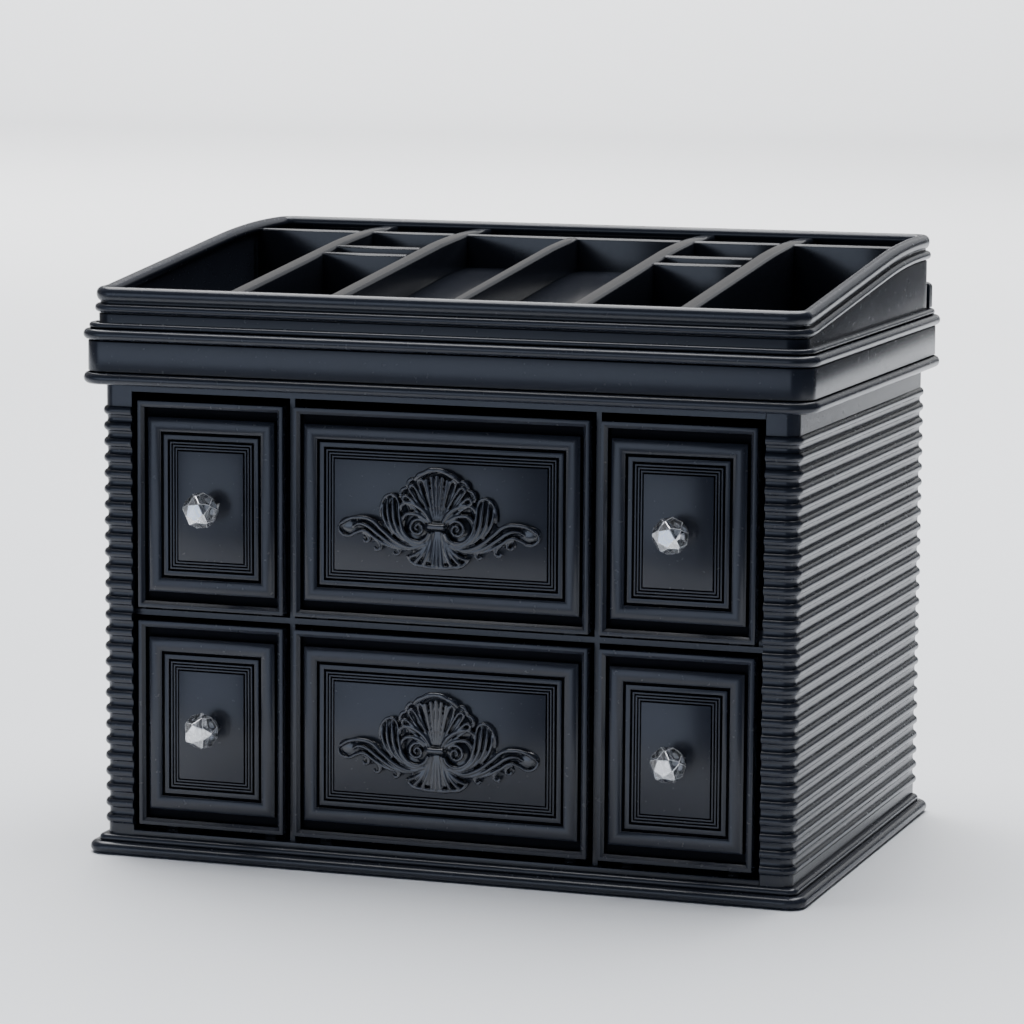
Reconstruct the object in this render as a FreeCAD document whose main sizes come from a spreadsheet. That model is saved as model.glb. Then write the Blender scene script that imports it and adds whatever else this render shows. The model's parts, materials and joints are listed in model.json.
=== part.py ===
import FreeCAD, Part
import math
import os
import Sketcher
from types import SimpleNamespace

# A vanity organizer: a ribbed cabinet on a moulded plinth, with six drawers in two rows,
# and a compartment tray with a sloped, beaded rim on top.
# Millimetres. The origin is the middle of the underside, +X right, +Y to the back, +Z up.
# The drawers face -Y.

SIZES = {
    # Drawer fronts and the gaps round them
    "centre_front_width": 131.2,
    "side_front_width": 66.8,
    "front_height": 89.0,
    "column_gap": 4.7,
    "row_gap": 5.8,
    "side_reveal": 3.2,
    "sill_gap": 3.2,
    "head_gap": 3.6,
    # Cabinet
    "body_depth": 212.0,
    "pilaster_width": 14.7,
    "panel_wall": 3.0,
    "panel_corner": 5.0,
    "rib_count": 27,
    "rib_chord": 3.4,
    "rib_rise": 1.4,
    "foot_strip": 6.6,
    "head_strip": 11.6,
    "roll_height": 5.3,
    "roll_overhang": 5.5,
    "roll_corner": 8.0,
    "bead_height": 2.9,
    "bead_overhang": 1.5,
    "bead_corner": 6.0,
    "bead_sink": 0.9,
    "sill_rise": 2.2,
    "sill_setback": 1.0,
    "base_skin": 2.6,
    "rest_rim": 9.0,
    "rest_rib": 5.0,
    "deck_thickness": 3.0,
    "shelf_thickness": 2.4,
    "shelf_setback": 5.5,
    "divider_thickness": 2.2,
    "back_thickness": 2.4,
    "rail_width": 5.0,
    "rail_inset": 7.0,
    "rail_end_gap": 3.0,
    "guide_width": 2.0,
    "guide_height": 7.0,
    "guide_gap": 0.6,
    "fit_clearance": 0.2,
    "run_clearance": 0.3,
    # Drawer front mouldings
    "plate_thickness": 2.5,
    "groove_depth": 4.0,
    "rim_width": 2.8,
    "rim_bevel": 1.3,
    "side_groove": 1.6,
    "end_groove": 4.2,
    "roll_shoulder": 1.6,
    "roll_width": 6.0,
    "roll_drop": 1.2,
    "roll_bulge": 1.15,
    "step_width": 1.2,
    "step_drop": 2.6,
    "strip_drop": 1.3,
    "outer_strip_width": 2.0,
    "outer_groove_width": 0.9,
    "inner_strip_width": 0.8,
    "inner_groove_width": 0.5,
    "field_gap": 0.5,
    "field_drop": 1.0,
    # Drawer boxes
    "box_wall": 2.0,
    "box_floor": 2.0,
    "box_inset": 0.9,
    "box_top_drop": 11.0,
    "box_back_gap": 13.1,
    "box_corner": 3.0,
    # Knobs and screws
    "knob_radius": 8.2,
    "knob_length": 19.0,
    "knob_facets": 8,
    "screw_radius": 1.5,
    "screw_hole_radius": 1.8,
    "screw_head_radius": 3.2,
    "screw_head_height": 2.0,
    "screw_reach": 5.5,
    # Shell ornament on the middle drawers
    "ornament_width": 85.0,
    "ornament_height": 43.0,
    "ornament_relief": 5.2,
    "ornament_lift": 2.4,
    "shell_flutes": 11,
    "skirt_flutes": 7,
    # Tray cornice
    "cornice_overhang": 5.5,
    "cornice_corner": 9.0,
    "cornice_bead_rise": 2.0,
    "cornice_foot_bead": 5.2,
    "cornice_fascia": 13.8,
    "cornice_head_bead": 4.6,
    "cornice_small_bead": 2.7,
    "cornice_small_inset": 0.5,
    "cornice_neck_inset": 2.0,
    "cornice_wall": 3.4,
    "cornice_ledge": 2.0,
    "cornice_ledge_width": 10.0,
    # Organizer tray
    "tray_wall": 3.0,
    "tray_floor": 2.4,
    "tray_gap": 0.4,
    "tray_corner": 8.0,
    "tray_flange": 2.1,
    "tray_flange_reach": 1.7,
    "rim_bead_radius": 2.9,
    "rim_bead_inset": 1.9,
    "rim_front_rise": 15.1,
    "rim_back_rise": 33.1,
    "rim_level_run": 48.4,
    "rim_foot_tangent": 4.0,
    "rim_head_tangent": 34.0,
    "second_bead_radius": 1.9,
    "second_bead_drop": 6.1,
    "second_bead_inset": 0.2,
    "lug_width": 8.0,
    "lug_reach": 4.2,
    "lug_height": 11.5,
    "lug_round": 2.5,
    # Tray partitions
    "wide_partition": 7.0,
    "narrow_partition": 5.0,
    "cross_wall": 3.0,
    "partition_drop": 3.2,
    "partition_bevel": 0.8,
    "outer_bin_width": 50.0,
    "middle_bin_width": 48.0,
    "back_row_depth": 33.0,
    "small_bin_depth": 42.0,
    "slot_depth": 14.0,
    "display_depth": 15.0,
    "display_wall": 2.0,
    # One overrun for every cut
    "overrun": 5.0,
}

# Rings of a cut knob from its seat to its table: how far along, how wide, and turned or not.
KNOB_RING_SHARES = (
    (0.0, 0.44, False),
    (0.20, 0.36, False),
    (0.40, 0.80, True),
    (0.62, 1.0, False),
    (0.84, 0.80, True),
    (1.0, 0.50, False),
)

# Leaves of the right half of the ornament: shares of its half width, its height, its height
# again for half the leaf's width, and its relief.
LONG_LEAF_SHARES = (
    (0.15, -0.11, 0.060, 0.62),
    (0.34, -0.10, 0.080, 0.76),
    (0.55, -0.01, 0.080, 0.74),
    (0.76, 0.04, 0.085, 0.70),
    (0.91, 0.02, 0.090, 0.64),
    (1.0, -0.05, 0.050, 0.42),
)
LOWER_LEAF_SHARES = (
    (0.17, -0.19, 0.050, 0.50),
    (0.36, -0.19, 0.060, 0.58),
    (0.56, -0.11, 0.060, 0.56),
    (0.74, -0.05, 0.050, 0.50),
    (0.86, -0.06, 0.035, 0.40),
)
EAR_LEAF_SHARES = (
    (0.26, -0.05, 0.060, 0.50),
    (0.40, 0.05, 0.085, 0.62),
    (0.48, 0.16, 0.090, 0.64),
    (0.48, 0.25, 0.070, 0.54),
    (0.42, 0.30, 0.035, 0.40),
)
INNER_LEAF_SHARES = (
    (0.10, 0.05, 0.050, 0.72),
    (0.20, 0.13, 0.060, 0.70),
    (0.31, 0.18, 0.060, 0.60),
    (0.40, 0.15, 0.045, 0.42),
)
FIRST_CURL_SHARES = (
    (0.27, -0.20, 0.060, 0.46),
    (0.37, -0.24, 0.050, 0.46),
    (0.46, -0.28, 0.030, 0.36),
)
SECOND_CURL_SHARES = (
    (0.48, -0.16, 0.055, 0.46),
    (0.57, -0.20, 0.048, 0.44),
    (0.66, -0.24, 0.028, 0.36),
)
THIRD_CURL_SHARES = (
    (0.64, -0.08, 0.050, 0.44),
    (0.72, -0.12, 0.042, 0.42),
    (0.79, -0.16, 0.026, 0.34),
)
LEAVES = (
    LONG_LEAF_SHARES,
    LOWER_LEAF_SHARES,
    EAR_LEAF_SHARES,
    INNER_LEAF_SHARES,
    FIRST_CURL_SHARES,
    SECOND_CURL_SHARES,
    THIRD_CURL_SHARES,
)
SHOULDER_WIDTH_SHARE = 0.6
SHOULDER_RISE_SHARE = 0.8

# The two fans: the angle to each side in degrees, reach, the reach lost at the outer flutes,
# and the heights of ridges and valleys.
SHELL_ANGLE = 64.0
SHELL_REACH_SHARE = 0.57
SHELL_SHRINK_SHARE = 0.34
SKIRT_ANGLE = 44.0
SKIRT_REACH_SHARE = 0.42
SKIRT_SHRINK_SHARE = 0.04
FAN_HUB_SHARE = 0.07
RIDGE_SHARES = (0.55, 0.95)
VALLEY_SHARES = (0.45, 0.60)
VALLEY_REACH_SHARE = 0.94
VOLUTE_PLACE_SHARES = (0.21, -0.02)
VOLUTE_RADIUS_SHARE = 0.085
VOLUTE_TOP_SHARE = 0.62
VOLUTE_RISE_SHARE = 0.86
BAR_SHARES = (0.10, 0.035, 1.0)

# The bevel that makes an edge half of an octagon, as a share of its thickness.
OCTAGON_BEVEL_SHARE = 1 - math.sqrt(0.5)
OCTAGON_SIDES = 8
OCTAGON_FLAT_SHARE = math.cos(math.pi / OCTAGON_SIDES)
HEXAGON_SIDES = 6
QUARTER_TURN = 90.0
RIB_FACETS = 4
CORNER_MITRES = 3
NEAR = 1e-5

Vector = FreeCAD.Vector
doc = FreeCAD.newDocument("vanity_organizer")
sheet = doc.addObject("Spreadsheet::Sheet", "Sizes")


class Size:
    """A size of the sheet, or a sum of such sizes, as a number and as a formula."""

    def __init__(self, number, formula):
        self.number = number
        self.formula = formula

    def __float__(self):
        return float(self.number)

    def __add__(self, other):
        return Size(self.number + number_of(other), "(%s + %s)" % (self.formula, formula_of(other)))

    def __radd__(self, other):
        return Size(number_of(other) + self.number, "(%s + %s)" % (formula_of(other), self.formula))

    def __sub__(self, other):
        return Size(self.number - number_of(other), "(%s - %s)" % (self.formula, formula_of(other)))

    def __rsub__(self, other):
        return Size(number_of(other) - self.number, "(%s - %s)" % (formula_of(other), self.formula))

    def __mul__(self, other):
        return Size(self.number * number_of(other), "(%s * %s)" % (self.formula, formula_of(other)))

    __rmul__ = __mul__

    def __truediv__(self, other):
        return Size(self.number / number_of(other), "(%s / %s)" % (self.formula, formula_of(other)))

    def __neg__(self):
        return Size(-self.number, "(0 - %s)" % self.formula)


def number_of(value):
    return value.number if isinstance(value, Size) else value


def formula_of(value):
    return value.formula if isinstance(value, Size) else repr(value)


def fill_sheet():
    """Write each size and its alias, and return the sizes by name."""
    sizes = SimpleNamespace()
    for row, (alias, number) in enumerate(SIZES.items(), start=1):
        sheet.set("A%d" % row, alias)
        sheet.set("B%d" % row, str(number))
        sheet.setAlias("B%d" % row, alias)
        setattr(sizes, alias, Size(number, "Sizes." + alias))
    doc.recompute()
    return sizes


d = fill_sheet()

# Widths from the middle outwards
opening_half = d.centre_front_width / 2 + d.column_gap + d.side_front_width + d.side_reveal
crest_half = opening_half + d.pilaster_width
flat_half = crest_half - d.rib_rise
inner_half = flat_half - d.panel_wall
divider_centre = d.centre_front_width / 2 + d.column_gap / 2
side_front_centre = d.centre_front_width / 2 + d.column_gap + d.side_front_width / 2

# Depths from front to back
crest_depth = d.body_depth / 2
front_y = -crest_depth
back_y = crest_depth
flat_y = front_y + d.rib_rise
pilaster_back_y = flat_y + d.panel_wall
corner_y = flat_y + d.panel_corner
sill_y = front_y + d.sill_setback
shelf_y = front_y + d.shelf_setback
plate_y = front_y + d.groove_depth
box_y = plate_y + d.plate_thickness
field_y = front_y + d.field_drop
back_panel_y = back_y - d.back_thickness
box_depth = back_panel_y - d.box_back_gap - box_y

# Heights from the table upwards
plinth_top = d.roll_height + d.bead_height
bay_floor = plinth_top + d.sill_rise
lower_bottom = bay_floor + d.sill_gap
upper_bottom = lower_bottom + d.front_height + d.row_gap
bay_ceiling = upper_bottom + d.front_height + d.head_gap
body_top = bay_ceiling + d.deck_thickness
shelf_bottom = upper_bottom - (d.row_gap + d.shelf_thickness) / 2
shelf_top = shelf_bottom + d.shelf_thickness
box_height = d.front_height - d.box_top_drop

# The tray cornice and the tray
fascia_half_x = crest_half + d.cornice_overhang
fascia_half_y = crest_depth + d.cornice_overhang
fascia_bottom = body_top + d.cornice_foot_bead
fascia_top = fascia_bottom + d.cornice_fascia
small_bead_bottom = fascia_top + d.cornice_head_bead
cornice_top = small_bead_bottom + d.cornice_small_bead
tray_half_x = fascia_half_x - d.cornice_wall - d.tray_gap
tray_half_y = fascia_half_y - d.cornice_wall - d.tray_gap
bin_half_x = tray_half_x - d.tray_wall
bin_half_y = tray_half_y - d.tray_wall
tray_bottom = body_top + d.cornice_ledge
bin_floor = tray_bottom + d.tray_floor
rim_front = cornice_top + d.rim_front_rise
rim_back = cornice_top + d.rim_back_rise

# Every sub-part by its name
nodes = {}


def bind(thing, prop, value):
    """Tie a property to the sheet."""
    thing.setExpression(prop, formula_of(value))


def at(x, y, z):
    return Vector(float(x), float(y), float(z))


def node(label, thing):
    """Name a finished sub-part."""
    thing.Label = label
    nodes[label] = thing
    return thing


def place(thing, x, y, z):
    bind(thing, "Placement.Base.x", x)
    bind(thing, "Placement.Base.y", y)
    bind(thing, "Placement.Base.z", z)
    return thing


def box(name, x, y, z):
    """A block between the pairs of limits x, y and z."""
    block = doc.addObject("Part::Box", name)
    bind(block, "Length", x[1] - x[0])
    bind(block, "Width", y[1] - y[0])
    bind(block, "Height", z[1] - z[0])
    return place(block, x[0], y[0], z[0])


def rod(name, radius, length, x, y, z):
    """A round bar that starts at a point and runs forwards."""
    bar = doc.addObject("Part::Cylinder", name)
    bind(bar, "Radius", radius)
    bind(bar, "Height", length)
    bar.Placement.Rotation = FreeCAD.Rotation(Vector(1, 0, 0), QUARTER_TURN)
    return place(bar, x, y, z)


def fuse(name, *shapes):
    joined = doc.addObject("Part::MultiFuse", name)
    joined.Shapes = list(shapes)
    joined.Refine = True
    return joined


def cut(name, base, *tools):
    trimmed = doc.addObject("Part::Cut", name)
    trimmed.Base = base
    trimmed.Tool = tools[0] if len(tools) == 1 else fuse(name + "_tools", *tools)
    trimmed.Refine = True
    return trimmed


def mirror(name, source):
    """The same piece on the other side of the middle."""
    twin = doc.addObject("Part::Mirroring", name)
    twin.Source = source
    twin.Normal = Vector(1, 0, 0)
    return twin


def wire_part(name, shape):
    thing = doc.addObject("Part::Feature", name)
    thing.Shape = shape
    return thing


def origin_plane(body, role):
    return next(plane for plane in body.Origin.OriginFeatures if plane.Role == role)


def new_sketch(body, name, role, along, across=0.0, up=0.0):
    """A sketch on one of the body's own planes, moved along its normal and in its plane."""
    sketch = body.newObject("Sketcher::SketchObject", name)
    sketch.AttachmentSupport = [(origin_plane(body, role), "")]
    sketch.MapMode = "FlatFace"
    bind(sketch, "AttachmentOffset.Base.x", across)
    bind(sketch, "AttachmentOffset.Base.y", up)
    bind(sketch, "AttachmentOffset.Base.z", along)
    return sketch


def add_rectangle(sketch, width, height):
    """A rectangle round the sketch's origin, sized by the sheet."""
    first = sketch.GeometryCount
    x = float(width) / 2
    y = float(height) / 2
    corners = (Vector(-x, -y, 0), Vector(x, -y, 0), Vector(x, y, 0), Vector(-x, y, 0))
    for side in range(4):
        sketch.addGeometry(Part.LineSegment(corners[side], corners[(side + 1) % 4]))
    for side in range(4):
        following = first + (side + 1) % 4
        sketch.addConstraint(Sketcher.Constraint("Coincident", first + side, 2, following, 1))
        level = "Vertical" if side % 2 else "Horizontal"
        sketch.addConstraint(Sketcher.Constraint(level, first + side))
    sketch.addConstraint(Sketcher.Constraint("Symmetric", first, 1, first + 1, 2, -1, 1))
    wide = sketch.addConstraint(Sketcher.Constraint("DistanceX", first, 1, first, 2, 2 * x))
    high = sketch.addConstraint(Sketcher.Constraint("DistanceY", first + 1, 1, first + 1, 2, 2 * y))
    bind(sketch, "Constraints[%d]" % wide, width)
    bind(sketch, "Constraints[%d]" % high, height)


def add_circle(sketch, radius, x=0.0):
    """A circle on the sketch's X axis, sized by the sheet."""
    centre = Vector(float(x), 0, 0)
    index = sketch.addGeometry(Part.Circle(centre, Vector(0, 0, 1), float(radius)))
    limit = sketch.addConstraint(Sketcher.Constraint("Radius", index, float(radius)))
    bind(sketch, "Constraints[%d]" % limit, radius)


def add_chain(sketch, pieces):
    for piece in pieces:
        sketch.addGeometry(piece)


def pad(body, name, sketch, length, reverse=False):
    feature = body.newObject("PartDesign::Pad", name)
    feature.Profile = sketch
    bind(feature, "Length", length)
    feature.Reversed = reverse
    return feature


def pocket(body, name, sketch, depth):
    """Cut a sketch to a depth, and make sure that it met the solid."""
    doc.recompute()
    before = body.Shape.Volume
    feature = body.newObject("PartDesign::Pocket", name)
    feature.Profile = sketch
    bind(feature, "Length", depth)
    doc.recompute()
    if body.Shape.Volume > before - NEAR:
        raise RuntimeError("the cut %s misses its solid" % name)
    return feature


def edge_names(shape, wanted):
    """The names of the edges that a test picks."""
    return ["Edge%d" % (i + 1) for i, edge in enumerate(shape.Edges) if wanted(edge)]


def round_edges(body, name, radius, wanted):
    doc.recompute()
    base = body.Tip
    feature = body.newObject("PartDesign::Fillet", name)
    feature.Base = (base, edge_names(base.Shape, wanted))
    bind(feature, "Radius", radius)
    return feature


def bevel_edges(body, name, size, wanted):
    doc.recompute()
    base = body.Tip
    feature = body.newObject("PartDesign::Chamfer", name)
    feature.Base = (base, edge_names(base.Shape, wanted))
    bind(feature, "Size", size)
    return feature


def is_upright(edge):
    box_of = edge.BoundBox
    return box_of.XLength < NEAR and box_of.YLength < NEAR


def is_level(edge):
    return edge.BoundBox.ZLength < NEAR


def plate(name, half_x, half_y, low, high, corner, beaded=False):
    """A rectangular plate with round corners and, on a bead, edges of half an octagon."""
    body = doc.addObject("PartDesign::Body", name)
    sketch = new_sketch(body, name + "_outline", "XY_Plane", low)
    add_rectangle(sketch, half_x * 2, half_y * 2)
    pad(body, name + "_pad", sketch, high - low)
    round_edges(body, name + "_corners", corner, is_upright)
    if beaded:
        bevel_edges(body, name + "_edges", (high - low) * OCTAGON_BEVEL_SHARE, is_level)
    return body


def bulged_arc(start, end, bulge):
    """An arc between two points of a sketch that stands out to the left of its chord."""
    chord = end - start
    middle = (start + end) / 2
    side = Vector(-chord.y, chord.x, 0).normalize()
    return Part.Arc(start, middle + side * float(bulge), end)


def rounded_path(points, tangents):
    """Edges along straight runs, with an arc of a given tangent length at each corner."""
    edges = []
    last = points[0]
    for corner, before, after, tangent in zip(points[1:], points, points[2:], tangents):
        back = (before - corner).normalize()
        ahead = (after - corner).normalize()
        half_angle = back.getAngle(ahead) / 2
        reach = float(tangent)
        radius = reach * math.tan(half_angle)
        inward = (back + ahead).normalize()
        middle = corner + inward * (reach / math.cos(half_angle) - radius)
        start = corner + back * reach
        end = corner + ahead * reach
        if (start - last).Length > NEAR:
            edges.append(Part.LineSegment(last, start).toShape())
        edges.append(Part.Arc(start, middle, end).toShape())
        last = end
    edges.append(Part.LineSegment(last, points[-1]).toShape())
    return edges


def base_plinth():
    """The foot with its half-round roll and bead, the bay floor, the lower drawers' rails."""
    roll_x = crest_half + d.roll_overhang
    roll_y = crest_depth + d.roll_overhang
    bead_x = crest_half + d.bead_overhang
    bead_y = crest_depth + d.bead_overhang
    roll = plate("plinth_roll", roll_x, roll_y, 0.0, d.roll_height, d.roll_corner, True)
    bead_bottom = d.roll_height - d.bead_sink
    bead = plate("plinth_bead", bead_x, bead_y, bead_bottom, plinth_top, d.bead_corner, True)
    core_x = crest_half - d.rest_rim
    core_y = crest_depth - d.rest_rim
    core = box("plinth_core", (-core_x, core_x), (-core_y, core_y), (bead_bottom, plinth_top))
    floor_pieces = stepped_plate("bay_floor", plinth_top, bay_floor)
    rails = drawer_rails("lower", bay_floor, lower_bottom - d.run_clearance)
    solid = fuse("plinth_solid", roll, bead, core, *floor_pieces, *rails)
    return node("base_plinth", cut("plinth_hollowed", solid, *underside_pockets()))


def stepped_plate(name, low, high):
    """A plate between the side panels, with a narrower lip between the pilasters."""
    lip_x = opening_half - d.fit_clearance
    main_x = inner_half - d.fit_clearance
    main_y = corner_y
    main = box(name + "_main", (-main_x, main_x), (main_y, back_y), (low, high))
    lip = box(name + "_lip", (-lip_x, lip_x), (sill_y, main_y), (low, high))
    return main, lip


def box_limits():
    """The side limits of the three drawer boxes of a row, left to right."""
    near = d.centre_front_width / 2 + d.column_gap + d.box_inset
    far = near + d.side_front_width - d.box_inset * 2
    middle = d.centre_front_width / 2 - d.box_inset
    return (-far, -near), (-middle, middle), (near, far)


def drawer_rails(row, low, high):
    """Two rails under each drawer box of a row, and a guide beside each outer one."""
    span_y = (pilaster_back_y + d.rail_end_gap, back_panel_y - d.rail_end_gap)
    rails = []
    for column, (left, right) in zip(("left", "centre", "right"), box_limits()):
        starts = (left + d.rail_inset, right - d.rail_inset - d.rail_width)
        for side, start in zip(("outer", "inner"), starts):
            name = "%s_%s_%s_rail" % (row, column, side)
            rails.append(box(name, (start, start + d.rail_width), span_y, (low, high)))
    guide_start = box_limits()[2][1] + d.guide_gap
    guide_end = guide_start + d.guide_width
    guide_z = (low, low + d.guide_height)
    rails.append(box(row + "_right_guide", (guide_start, guide_end), span_y, guide_z))
    rails.append(box(row + "_left_guide", (-guide_end, -guide_start), span_y, guide_z))
    return rails


def underside_pockets():
    """Six recesses in the underside, between a rim and ribs that all rest on the table."""
    columns = 3
    rows = 2
    half_x = crest_half - d.rest_rim
    half_y = crest_depth - d.rest_rim
    pitch_x = (half_x * 2 + d.rest_rib) / columns
    pitch_y = (half_y * 2 + d.rest_rib) / rows
    pockets = []
    for column in range(columns):
        for row in range(rows):
            x = -half_x + pitch_x * column
            y = -half_y + pitch_y * row
            name = "underside_pocket_%d_%d" % (column, row)
            span_x = (x, x + pitch_x - d.rest_rib)
            span_y = (y, y + pitch_y - d.rest_rib)
            pockets.append(box(name, span_x, span_y, (-d.overrun, bay_floor - d.base_skin)))
    return pockets


def rib_section():
    """The corners of a side panel's section: plain strips and a row of bead-like ribs."""
    count = int(d.rib_count.number)
    first = float(plinth_top + d.foot_strip)
    pitch = (float(body_top - d.head_strip) - first) / (count - 1)
    half = float(d.rib_chord) / 2
    wall = float(d.panel_wall)
    low = float(plinth_top)
    high = float(body_top)
    corners = [(-wall, low), (0, low)]
    for rib in range(count):
        centre = first + pitch * rib
        for turn in range(RIB_FACETS + 1):
            angle = math.pi * turn / RIB_FACETS
            corners.append((float(d.rib_rise) * math.sin(angle), centre - half * math.cos(angle)))
    return corners + [(0, high), (-wall, high)]


def side_panels():
    """The ribbed side, which turns the front corner and ends as a pilaster by the drawers."""
    body = doc.addObject("PartDesign::Body", "ribbed_side")
    section = new_sketch(body, "rib_section", "YZ_Plane", opening_half)
    corners = [Vector(float(flat_y) - out, height, 0) for out, height in rib_section()]
    for first, second in zip(corners, corners[1:] + corners[:1]):
        section.addGeometry(Part.LineSegment(first, second))
    path = new_sketch(body, "panel_path", "XY_Plane", plinth_top)
    radius = float(d.panel_corner)
    centre = Vector(float(flat_half) - radius, float(flat_y) + radius, 0)
    points = [Vector(float(opening_half), float(flat_y), 0)]
    step = math.pi / 2 / CORNER_MITRES
    for mitre in range(CORNER_MITRES):
        angle = step * (mitre + 0.5)
        outward = Vector(math.sin(angle), -math.cos(angle), 0)
        points.append(centre + outward * (radius / math.cos(step / 2)))
    points.append(Vector(float(flat_half), float(back_y), 0))
    for first, second in zip(points, points[1:]):
        path.addGeometry(Part.LineSegment(first, second))
    run = body.newObject("PartDesign::AdditivePipe", "panel_run")
    run.Profile = section
    run.Spine = (path, [])
    run.Transition = "Right corner"
    node("right_side_panel", body)
    node("left_side_panel", mirror("ribbed_side_twin", body))


def cabinet_plates():
    """The back, the shelf between the rows, the deck and the four bay dividers."""
    main_x = inner_half - d.fit_clearance
    main = (-main_x, main_x)
    node("back_panel", box("back", main, (back_panel_y, back_y), (bay_floor, bay_ceiling)))
    shelf = box("shelf", main, (shelf_y, back_panel_y), (shelf_bottom, shelf_top))
    pilaster_end = opening_half - d.fit_clearance
    notch_y = (shelf_y - d.overrun, corner_y)
    notch_z = (shelf_bottom - d.overrun, shelf_top + d.overrun)
    right_notch = box("shelf_notch", (pilaster_end, crest_half), notch_y, notch_z)
    left_notch = box("shelf_notch_twin", (-crest_half, -pilaster_end), notch_y, notch_z)
    rails = drawer_rails("upper", shelf_top, upper_bottom - d.run_clearance)
    shelf_solid = fuse("shelf_with_rails", shelf, *rails)
    node("mid_shelf", cut("shelf_notched", shelf_solid, right_notch, left_notch))
    node("top_deck", fuse("deck", *stepped_plate("deck", bay_ceiling, body_top)))
    for row, low, high in (("lower", bay_floor, shelf_bottom), ("upper", shelf_top, bay_ceiling)):
        for side, sign in (("left", -1), ("right", 1)):
            left = divider_centre * sign - d.divider_thickness / 2
            span_x = (left, left + d.divider_thickness)
            label = "%s_%s_divider" % (row, side)
            node(label, box(label + "_plate", span_x, (shelf_y, back_panel_y), (low, high)))


def moulding_section(bottom):
    """The section of the drawer front's moulding, from its outer edge to the field."""
    def point(inward, out):
        return Vector(float(front_y) - out, bottom + inward, 0)

    base = -float(d.groove_depth)
    inward = float(d.roll_width)
    start = point(0, base)
    shoulder = point(0, -float(d.roll_shoulder))
    roll = point(inward, -float(d.roll_drop))
    pieces = [Part.LineSegment(start, shoulder)]
    pieces.append(bulged_arc(shoulder, roll, d.roll_bulge))
    low = -float(d.step_drop)
    high = -float(d.strip_drop)
    corners = [roll, point(inward, low)]
    for gap, strip in moulding_strips():
        corners.append(point(inward + float(gap), low))
        corners.append(point(inward + float(gap), high))
        inward = inward + float(gap + strip)
        corners.append(point(inward, high))
        corners.append(point(inward, low))
    inward = inward + float(d.field_gap)
    corners.append(point(inward, low))
    corners.append(point(inward, base))
    corners.append(start)
    for first, second in zip(corners, corners[1:]):
        pieces.append(Part.LineSegment(first, second))
    return pieces


def moulding_strips():
    """The gap before each thin strip, and the strip's width."""
    return (
        (d.step_width, d.outer_strip_width),
        (d.outer_groove_width, d.inner_strip_width),
        (d.inner_groove_width, d.inner_strip_width),
        (d.inner_groove_width, d.inner_strip_width),
    )


def moulding_width():
    strips = sum((gap + strip for gap, strip in moulding_strips()), d.field_gap)
    return d.roll_width + strips


def front_body(label, x, bottom, width):
    """A drawer front: a plate, a raised rim, a mitred moulding and the field."""
    body = doc.addObject("PartDesign::Body", label + "_body")
    middle = bottom + d.front_height / 2
    plate_sketch = new_sketch(body, label + "_plate", "XZ_Plane", -box_y, x, middle)
    add_rectangle(plate_sketch, width, d.front_height)
    pad(body, label + "_plate_pad", plate_sketch, d.plate_thickness)
    rim = new_sketch(body, label + "_rim", "XZ_Plane", -plate_y, x, middle)
    add_rectangle(rim, width, d.front_height)
    rim_inner_width = width - d.rim_width * 2
    rim_inner_height = d.front_height - d.rim_width * 2
    add_rectangle(rim, rim_inner_width, rim_inner_height)
    pad(body, label + "_rim_pad", rim, d.groove_depth)
    bevel_rim(body, label, x, rim_inner_width, middle, rim_inner_height)
    run_width = rim_inner_width - d.side_groove * 2
    run_height = rim_inner_height - d.end_groove * 2
    path = new_sketch(body, label + "_path", "XZ_Plane", -plate_y, x, middle)
    add_chain(path, rectangle_run(float(run_width) / 2, float(run_height) / 2))
    section = new_sketch(body, label + "_section", "YZ_Plane", x)
    add_chain(section, moulding_section(float(middle - run_height / 2)))
    moulding = body.newObject("PartDesign::AdditivePipe", label + "_moulding")
    moulding.Profile = section
    moulding.Spine = (path, [])
    moulding.Transition = "Right corner"
    field = new_sketch(body, label + "_field", "XZ_Plane", -plate_y, x, middle)
    inset = moulding_width() * 2
    add_rectangle(field, run_width - inset, run_height - inset)
    pad(body, label + "_field_pad", field, d.groove_depth - d.field_drop)
    return body


def bevel_rim(body, label, x, width, middle, height):
    """Take the inner edge off the rim's face."""
    doc.recompute()
    left = float(x - width / 2)
    right = float(x + width / 2)
    low = float(middle - height / 2)
    high = float(middle + height / 2)
    face_y = float(front_y)

    def is_inner(edge):
        limits = edge.BoundBox
        in_face = abs(limits.YMin - face_y) < NEAR and limits.YLength < NEAR
        in_x = limits.XMin > left - NEAR and limits.XMax < right + NEAR
        return in_face and in_x and limits.ZMin > low - NEAR and limits.ZMax < high + NEAR

    base = body.Tip
    feature = body.newObject("PartDesign::Chamfer", label + "_bevel")
    feature.Base = (base, edge_names(base.Shape, is_inner))
    bind(feature, "Size", d.rim_bevel)


def rectangle_run(x, y):
    """The four sides of a rectangle, begun at the middle of the lowest one."""
    corners = [Vector(0, -y, 0), Vector(x, -y, 0), Vector(x, y, 0), Vector(-x, y, 0)]
    corners = corners + [Vector(-x, -y, 0), Vector(0, -y, 0)]
    return [Part.LineSegment(first, second) for first, second in zip(corners, corners[1:])]


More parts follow.
